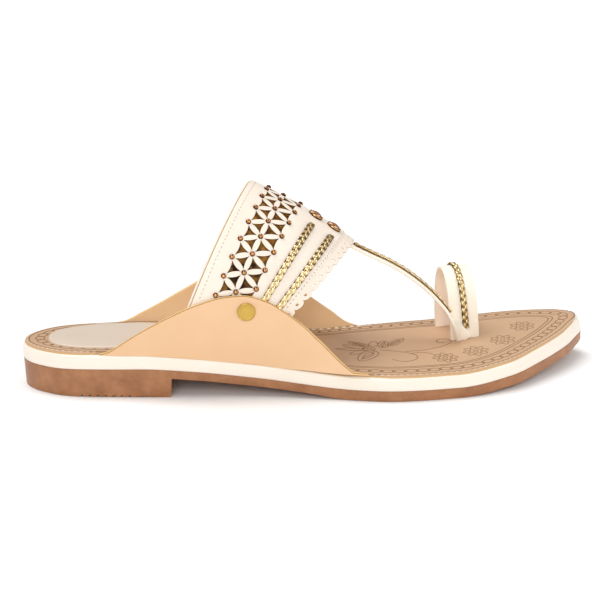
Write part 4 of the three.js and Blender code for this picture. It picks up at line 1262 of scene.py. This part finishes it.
# Route on the vamp: one share of its width, from beside the ridge down to just behind the panel's edge
def vampPlait(name, side):
    share = braidRows[name]
    reach = np.arange(braidRows["start"], braidRows["farthest"], braidRows["step"])
    height = abovePanel(share, vampAround(np.full(len(reach), share), side * reach))
    reach = reach[: np.argmax(height < braidRows["tuck"])]
    point, _, _, outwards = vampFrames(share, side * reach, vamp["thickness"])
    forward = unit(np.gradient(point, axis=0))
    label = ("outer_" if side < 0 else "inner_") + name
    plaitPiece("plait_" + label, point, np.cross(forward, outwards), outwards, ["braid_" + label],
               vampCord, plait["vampShine"])


# Route on a band: along its outer face, shifted sideways from one end's value to the other's
def bandPlait(name, framesOf, band, node, cord):
    middle, sideways, outwards, _ = framesOf(np.linspace(*band["braid"], bandSteps["braid"]))
    shift = np.linspace(*band["braidShift"], bandSteps["braid"])[:, None]
    middle = middle + outwards * (band["thickness"] / 2 + 0.05) + sideways * shift
    plaitPiece(name, middle, sideways, outwards, [node], cord, plait["bandShine"])


# Stitches: short capsules along a line, sunk at both ends
stitch = {"length": 1.1, "radius": 0.17, "bow": 0.14, "sink": 0.06}


def stitchGrids(startPoints, endPoints, outwards, thread):
    t = np.linspace(0, 1, 7)[:, None]
    radius = thread * np.sqrt(np.clip(1 - (2 * t - 1) ** 4, 0, 1))
    core = startPoints[:, None] * (1 - t) + endPoints[:, None] * t
    core = core + (stitch["bow"] * np.sin(np.pi * t) - stitch["sink"]) * outwards[:, None]
    forward = unit(endPoints - startPoints)[:, None]
    side = np.cross(outwards[:, None], forward)
    turn = fullTurn(8)
    ring = np.cos(turn)[:, None] * side[:, :, None] + np.sin(turn)[:, None] * outwards[:, None, None]
    return core[:, :, None] + radius[:, :, None] * ring


# Two seams on the vamp: shares of its width from the distances to the back edge and to the scallop tips
sewing = {"shares": (3.6 / vampWidth, 1 - 6.4 / vampWidth), "pitch": 1.9, "reach": 84, "clear": 0.6}


def vampStitches(share):
    distance = np.arange(-sewing["reach"], sewing["reach"], sewing["pitch"])
    around = vampAround(np.full(len(distance), share), distance)
    distance = distance[abovePanel(share, around) > sewing["clear"]]
    half = stitch["length"] / 2
    ends = [vampFrames(share, distance + step, vamp["thickness"]) for step in (-half, half)]
    return stitchGrids(ends[0][0], ends[1][0], ends[0][3], stitch["radius"])


def stitchPiece():
    rows = [{"points": vampStitches(share)} for share in sewing["shares"]]
    addPiece("vamp_stitches", rows, [stitchThread], (), 60)
    rims = [{"points": rimStitches(name)} for name in ("free", "besidePanel")]
    addPiece("rim_stitches", rims, [paleThread], (), 60)


# Embossed insole: every burnished line is a shallow groove between two low lips, laid on the leather
emboss = {
    "borderWidth": 0.58,
    "motifWidth": 0.4,
    "lip": 0.1,
    "border": (2.6, 11.4, 12.7),  # drawn in from the sole's outline
    "chain": 6.7,
    "link": (3.0, 1.9),
    "linkPitch": 5.1,
    "across": [-1, -0.6, -0.25, 0.25, 0.6, 1],  # the groove's section, in half widths and in lips
    "rise": [-0.02, 1, 0.35, 0.35, 1, -0.02],
    "inwardStep": 0.4,
    "points": 900,
}


def grooveGrids(plan, width):
    along = unit(np.gradient(plan, axis=-2))
    closed = np.linalg.norm(plan[..., 0, :] - plan[..., -1, :], axis=-1) < 1e-6
    joint = unit(plan[..., 1, :] - plan[..., -2, :])
    along[closed, 0] = joint[closed]
    along[closed, -1] = joint[closed]
    across = quarterTurn(along)
    offset = np.array(emboss["across"]) * width / 2
    lift = np.array(emboss["rise"]) * emboss["lip"]
    place = plan[..., None, :] + offset[:, None] * across[..., None, :]
    z = insoleTop(place[..., 0]) + lift
    return np.concatenate([place, z[..., None]], -1)


# Outline drawn in by a distance: small steps along the inward normal, evened out and smoothed after each so
# that the lines turn round the toe in a soft bend
def insetOutline(distance):
    at = roundStations(600)
    outer, inner = (np.stack([at, soleEdge(at, side)], -1) for side in (-1, 1))
    outline = np.concatenate([outer, inner[::-1][1:-1]])
    step = emboss["inwardStep"]
    for sweep in range(int(round(distance / step)) + 1):
        loop = closeLoop(outline)
        length = runLength(loop)
        outline = alongLine(loop, length, np.linspace(0, length[-1], emboss["points"] + 1)[:-1])
        if sweep == 0:
            continue
        for smoothing in range(5):
            outline = (np.roll(outline, 1, 0) + 2 * outline + np.roll(outline, -1, 0)) / 4
        along = unit(np.roll(outline, -1, 0) - np.roll(outline, 1, 0))
        outline = outline + step * quarterTurn(along)
    return closeLoop(outline)


# Chain: ovals strung along the border's middle line
def chainLinks():
    line = insetOutline(emboss["chain"])
    length = runLength(line)
    number = int(round(length[-1] / emboss["linkPitch"]))
    spot = np.linspace(0, length[-1], number, endpoint=False)
    middle = alongLine(line, length, spot)
    ahead = alongLine(line, length, (spot + 0.5) % length[-1])
    along = unit(ahead - middle)[:, None]
    turn = fullTurn(24)[:, None]
    half = emboss["link"]
    return middle[:, None] + half[0] * np.cos(turn) * along + half[1] * np.sin(turn) * quarterTurn(along)


# Rosettes: a wavy line of eight lobes, a star of eight points and a small ring, stretched across the foot
rosette = {
    "places": [(181.1, -25.4), (196, -20), (210.9, -9.5), (224.1, 6.2)],
    "half": (5.6, 7.2),
    "rings": {"reach": [0.85, 0.5, 0.18], "swing": [0.15, -0.1, 0.0]},
    "lobes": 8,
}


def rosetteLines():
    turn = fullTurn(120)
    reach, swing = (np.array(rosette["rings"][key])[:, None] for key in ("reach", "swing"))
    rings = reach + swing * np.cos(rosette["lobes"] * turn)
    direction = np.stack([np.cos(turn), np.sin(turn)], -1) * np.array(rosette["half"])
    shape = rings[..., None] * direction
    places = np.array(rosette["places"])[:, None, None]
    return (places + shape).reshape(-1, len(turn), 2)


# Leaf spray behind the rosettes: pointed loops from foot to tip, a smaller loop and a vein in broad ones
spray = {
    "broad": 2.5,
    "leaves": [
        {"foot": (160.6, -3.4), "tip": (169.3, 7.6), "half": 2.6},
        {"foot": (157.4, -6.0), "tip": (159.8, 4.8), "half": 2.9},
        {"foot": (153.4, -3.4), "tip": (155.2, 4.4), "half": 2.4},
        {"foot": (151, -3.4), "tip": (143.7, 5.8), "half": 2.6},
        {"foot": (149, -6.0), "tip": (140.4, 0.7), "half": 2.2},
        {"foot": (148.4, -7.8), "tip": (136.1, -5.2), "half": 2.0},
        {"foot": (148, -10), "tip": (141.2, -14.6), "half": 2.4},
        {"foot": (152.4, -11), "tip": (143.8, -25.4), "half": 4.4},
    ],
    "pinch": 0.6,
    "innerLoop": {"start": 0.16, "length": 0.6, "breadth": 0.45},  # as shares of the leaf
    "vein": {"run": (0.05, 0.9), "sway": 0.12},
    "heart": {"place": (150.9, -7.4), "rings": (2.6, 1.2), "breadth": 1.2},
    "vines": [
        [(155.4, -9.4), (163.5, -13.5), (167.4, -16.4), (169.6, -21.5), (167.2, -27), (162, -28.8),
         (157.9, -25)],
        [(165.7, -13.8), (176.2, -11.6), (187.1, -5), (189.4, -1.1), (188, 3.4), (184.4, 3.6),
         (183.1, -0.8), (186, -2)],
        [(167.6, -17.1), (171.6, -15.7), (174.4, -16.5), (177, -19.1)],
    ],
}


# Leaf outline: along the axis by the cosine of the turn, across it by the sine, pinched at the tip
def sprayLines():
    leaves = spray["leaves"]
    feet, tips = (np.array([leaf[key] for leaf in leaves], float)[:, None] for key in ("foot", "tip"))
    half = np.array([leaf["half"] for leaf in leaves])[:, None, None]
    turn = fullTurn(48)[:, None]
    along = tips - feet
    across = unit(quarterTurn(along))
    share = (1 - np.cos(turn)) / 2
    swell = half * across * np.sin(turn) * np.sqrt(1 - spray["pinch"] * share)
    outline = feet + along * share + swell
    loop = spray["innerLoop"]
    inner = feet + along * (loop["start"] + loop["length"] * share) + loop["breadth"] * swell
    place = np.linspace(*spray["vein"]["run"], 25)[:, None]
    vein = feet + along * place + spray["vein"]["sway"] * half * across * np.sin(2 * np.pi * place)
    middle = spray["heart"]
    ring = np.concatenate([np.cos(turn), middle["breadth"] * np.sin(turn)], -1)
    heart = np.array(middle["place"]) + np.array(middle["rings"])[:, None, None] * ring
    vines = [pathThrough(points, np.linspace(0, 1, 90))[None] for points in spray["vines"]]
    broad = half[:, 0, 0] > spray["broad"]
    return [outline, inner[broad], vein[broad], heart, *vines]


# Sewn edge: pale stitches along the insole's free rim, longer ones along the front half of the inner panel
rimSewing = {
    "free": {"inset": 1.5, "pitch": 2.7, "length": 1.4, "thread": 0.17},
    "besidePanel": {"inset": 3.5, "pitch": 3.8, "length": 2.6, "thread": 0.5},
    "besideFrom": 104,
    "drop": 0.1,
}


def rimStitches(name):
    row = rimSewing[name]
    line = insetOutline(row["inset"])
    length = runLength(line)
    spot = np.arange(0, length[-1] - row["pitch"] / 2, row["pitch"])
    ends = [alongLine(line, length, place) for place in (spot, spot + row["length"])]
    x, outer = ends[0][:, 0], ends[0][:, 1] < soleMiddle(ends[0][:, 0])
    first = np.where(outer, panels["outer"]["at"][0], panels["inner"]["at"][0])
    final = np.where(outer, panels["outer"]["at"][-1], panels["inner"]["at"][-1])
    free = (x < first - 2) | (x > final + 1)
    shown = free if name == "free" else ~free & ~outer & (x > rimSewing["besideFrom"])
    start, end = (np.concatenate([e, insoleTop(e[:, :1]) - rimSewing["drop"]], -1)[shown] for e in ends)
    return stitchGrids(start, end, np.broadcast_to(np.array([0.0, 0, 1]), start.shape), row["thread"])


def embossPiece():
    borders = [insetOutline(distance)[None] for distance in emboss["border"]]
    motifs = [rosetteLines(), *sprayLines()]
    grids = [{"points": grooveGrids(line, emboss["borderWidth"])} for line in (*borders, chainLinks())]
    grids += [{"points": grooveGrids(line, emboss["motifWidth"]), "finish": 1} for line in motifs]
    addPiece("insole_embossing", grids, [burnishedLine, fineLine], (), 60)


outsolePiece()
midsolePiece()
insolePiece()
embossPiece()
heelPadPiece()
panelPiece(-1, "panel_outer", "side_panel_outer")
panelPiece(1, "panel_inner", "side_panel_inner")
badgePiece()
vampPiece()
liningPiece()
scallopPiece()
rivetPiece()
stitchPiece()
for name in stones["rows"]:
    stonePieces(name)
bandShares = np.linspace(0, 1, bandSteps["band"])
bandPiece("centre_strap", strapFrames(bandShares), strap["thickness"], ["upper"])
bandPiece("toe_ring", ringFrames(bandShares), toeRing["thickness"], ["upper"])
for side in (-1, 1):
    vampPlait("rear", side)
    vampPlait("front", side)
bandPlait("plait_strap", strapFrames, strap, "braid_strap", lightenedStrapCord)
bandPlait("plait_ring", ringFrames, toeRing, "braid_ring", goldCord)
print("pieces made")

# Camera at the photograph's angle: distance, rise and turn about a point on the sandal, in millimetres
view = {
    "target": (119.18, -13.1, 19.4),
    "distance": 679,
    "rise": 15.5,
    "turn": 8.0,
    "lens": 93.72,
    "sensor": 36,
    "shift": 0.0628,
}


# Turns a camera or a lamp so that it looks along a direction
def lookAlong(item, direction):
    item.rotation_mode = "QUATERNION"
    item.rotation_quaternion = direction.to_track_quat("-Z", "Y")


def addCamera():
    rise, turn = np.radians(view["rise"]), np.radians(view["turn"])
    forward = Vector((np.sin(turn) * np.cos(rise), np.cos(turn) * np.cos(rise), -np.sin(rise)))
    camera = addObject("camera", bpy.data.cameras.new("camera"))
    camera.data.lens = view["lens"]
    camera.data.sensor_width = view["sensor"]
    camera.data.shift_y = view["shift"]
    camera.location = (Vector(view["target"] + toFrame) - view["distance"] * forward) * millimetre
    lookAlong(camera, forward)
    bpy.context.scene.camera = camera


# Soft studio light: a pale room, a wide soft sun from above and a little behind, a large panel beside the
# camera that reaches into the ring and under the vamp, a small one for glints; places in metres
lights = {
    "sun": {"kind": "SUN", "place": (-0.3, 0.25, 1.2), "strength": 1.75, "settings": {"angle": 0.7}},
    "front": {"kind": "AREA", "place": (-0.28, -1.2, 0.55), "strength": 6.3, "settings": {"size": 0.6}},
    "right": {"kind": "AREA", "place": (1.0, -0.45, 0.65), "strength": 3.0, "settings": {"size": 0.4}},
}
room = {"colour": "#FFFFFF", "strength": 0.43, "aim": (0, 0, 0.03)}


def addLights():
    for name, light in lights.items():
        lamp = bpy.data.lights.new(name, light["kind"])
        lamp.energy = light["strength"]
        for key, value in light["settings"].items():
            setattr(lamp, key, value)
        stand = addObject(name, lamp)
        stand.location = light["place"]
        lookAlong(stand, Vector(room["aim"]) - stand.location)
    world = bpy.data.worlds.new("studio")
    world.use_nodes = True
    background = world.node_tree.nodes["Background"]
    background.inputs["Color"].default_value = toLinear(room["colour"])
    background.inputs["Strength"].default_value = room["strength"]
    bpy.context.scene.world = world
    bpy.context.scene.view_settings.view_transform = "Standard"


# Floor: white paper that glows, a painted light, more and more away from the sandal so that it runs into a
# white background; in metres
paper = {"half": 40.0, "glowFrom": (0.1, 0.5), "glow": 0.4}


def addFloor():
    half = paper["half"]
    mesh = bpy.data.meshes.new("floor")
    corners = [(-half, -half, 0), (half, -half, 0), (half, half, 0), (-half, half, 0)]
    mesh.from_pydata(corners, [], [(0, 1, 2, 3)])
    floor = addObject("floor", mesh)
    material, tree, shader, coordinates = startMaterial("white paper floor")
    away = addNode(tree, "ShaderNodeVectorMath", {0: coordinates["Object"]}, operation="LENGTH")
    limits = {"From Min": paper["glowFrom"][0], "From Max": paper["glowFrom"][1], "To Max": paper["glow"]}
    glow = addNode(tree, "ShaderNodeMapRange", {"Value": away.outputs["Value"]} | limits)
    light = {"Emission Color": toLinear("#FFFFFF"), "Emission Strength": glow.outputs["Result"]}
    setInputs(tree, shader, {"Base Color": toLinear("#F8F8F8"), "Roughness": 0.9} | light)
    mesh.materials.append(material)


addCamera()
addLights()
addFloor()
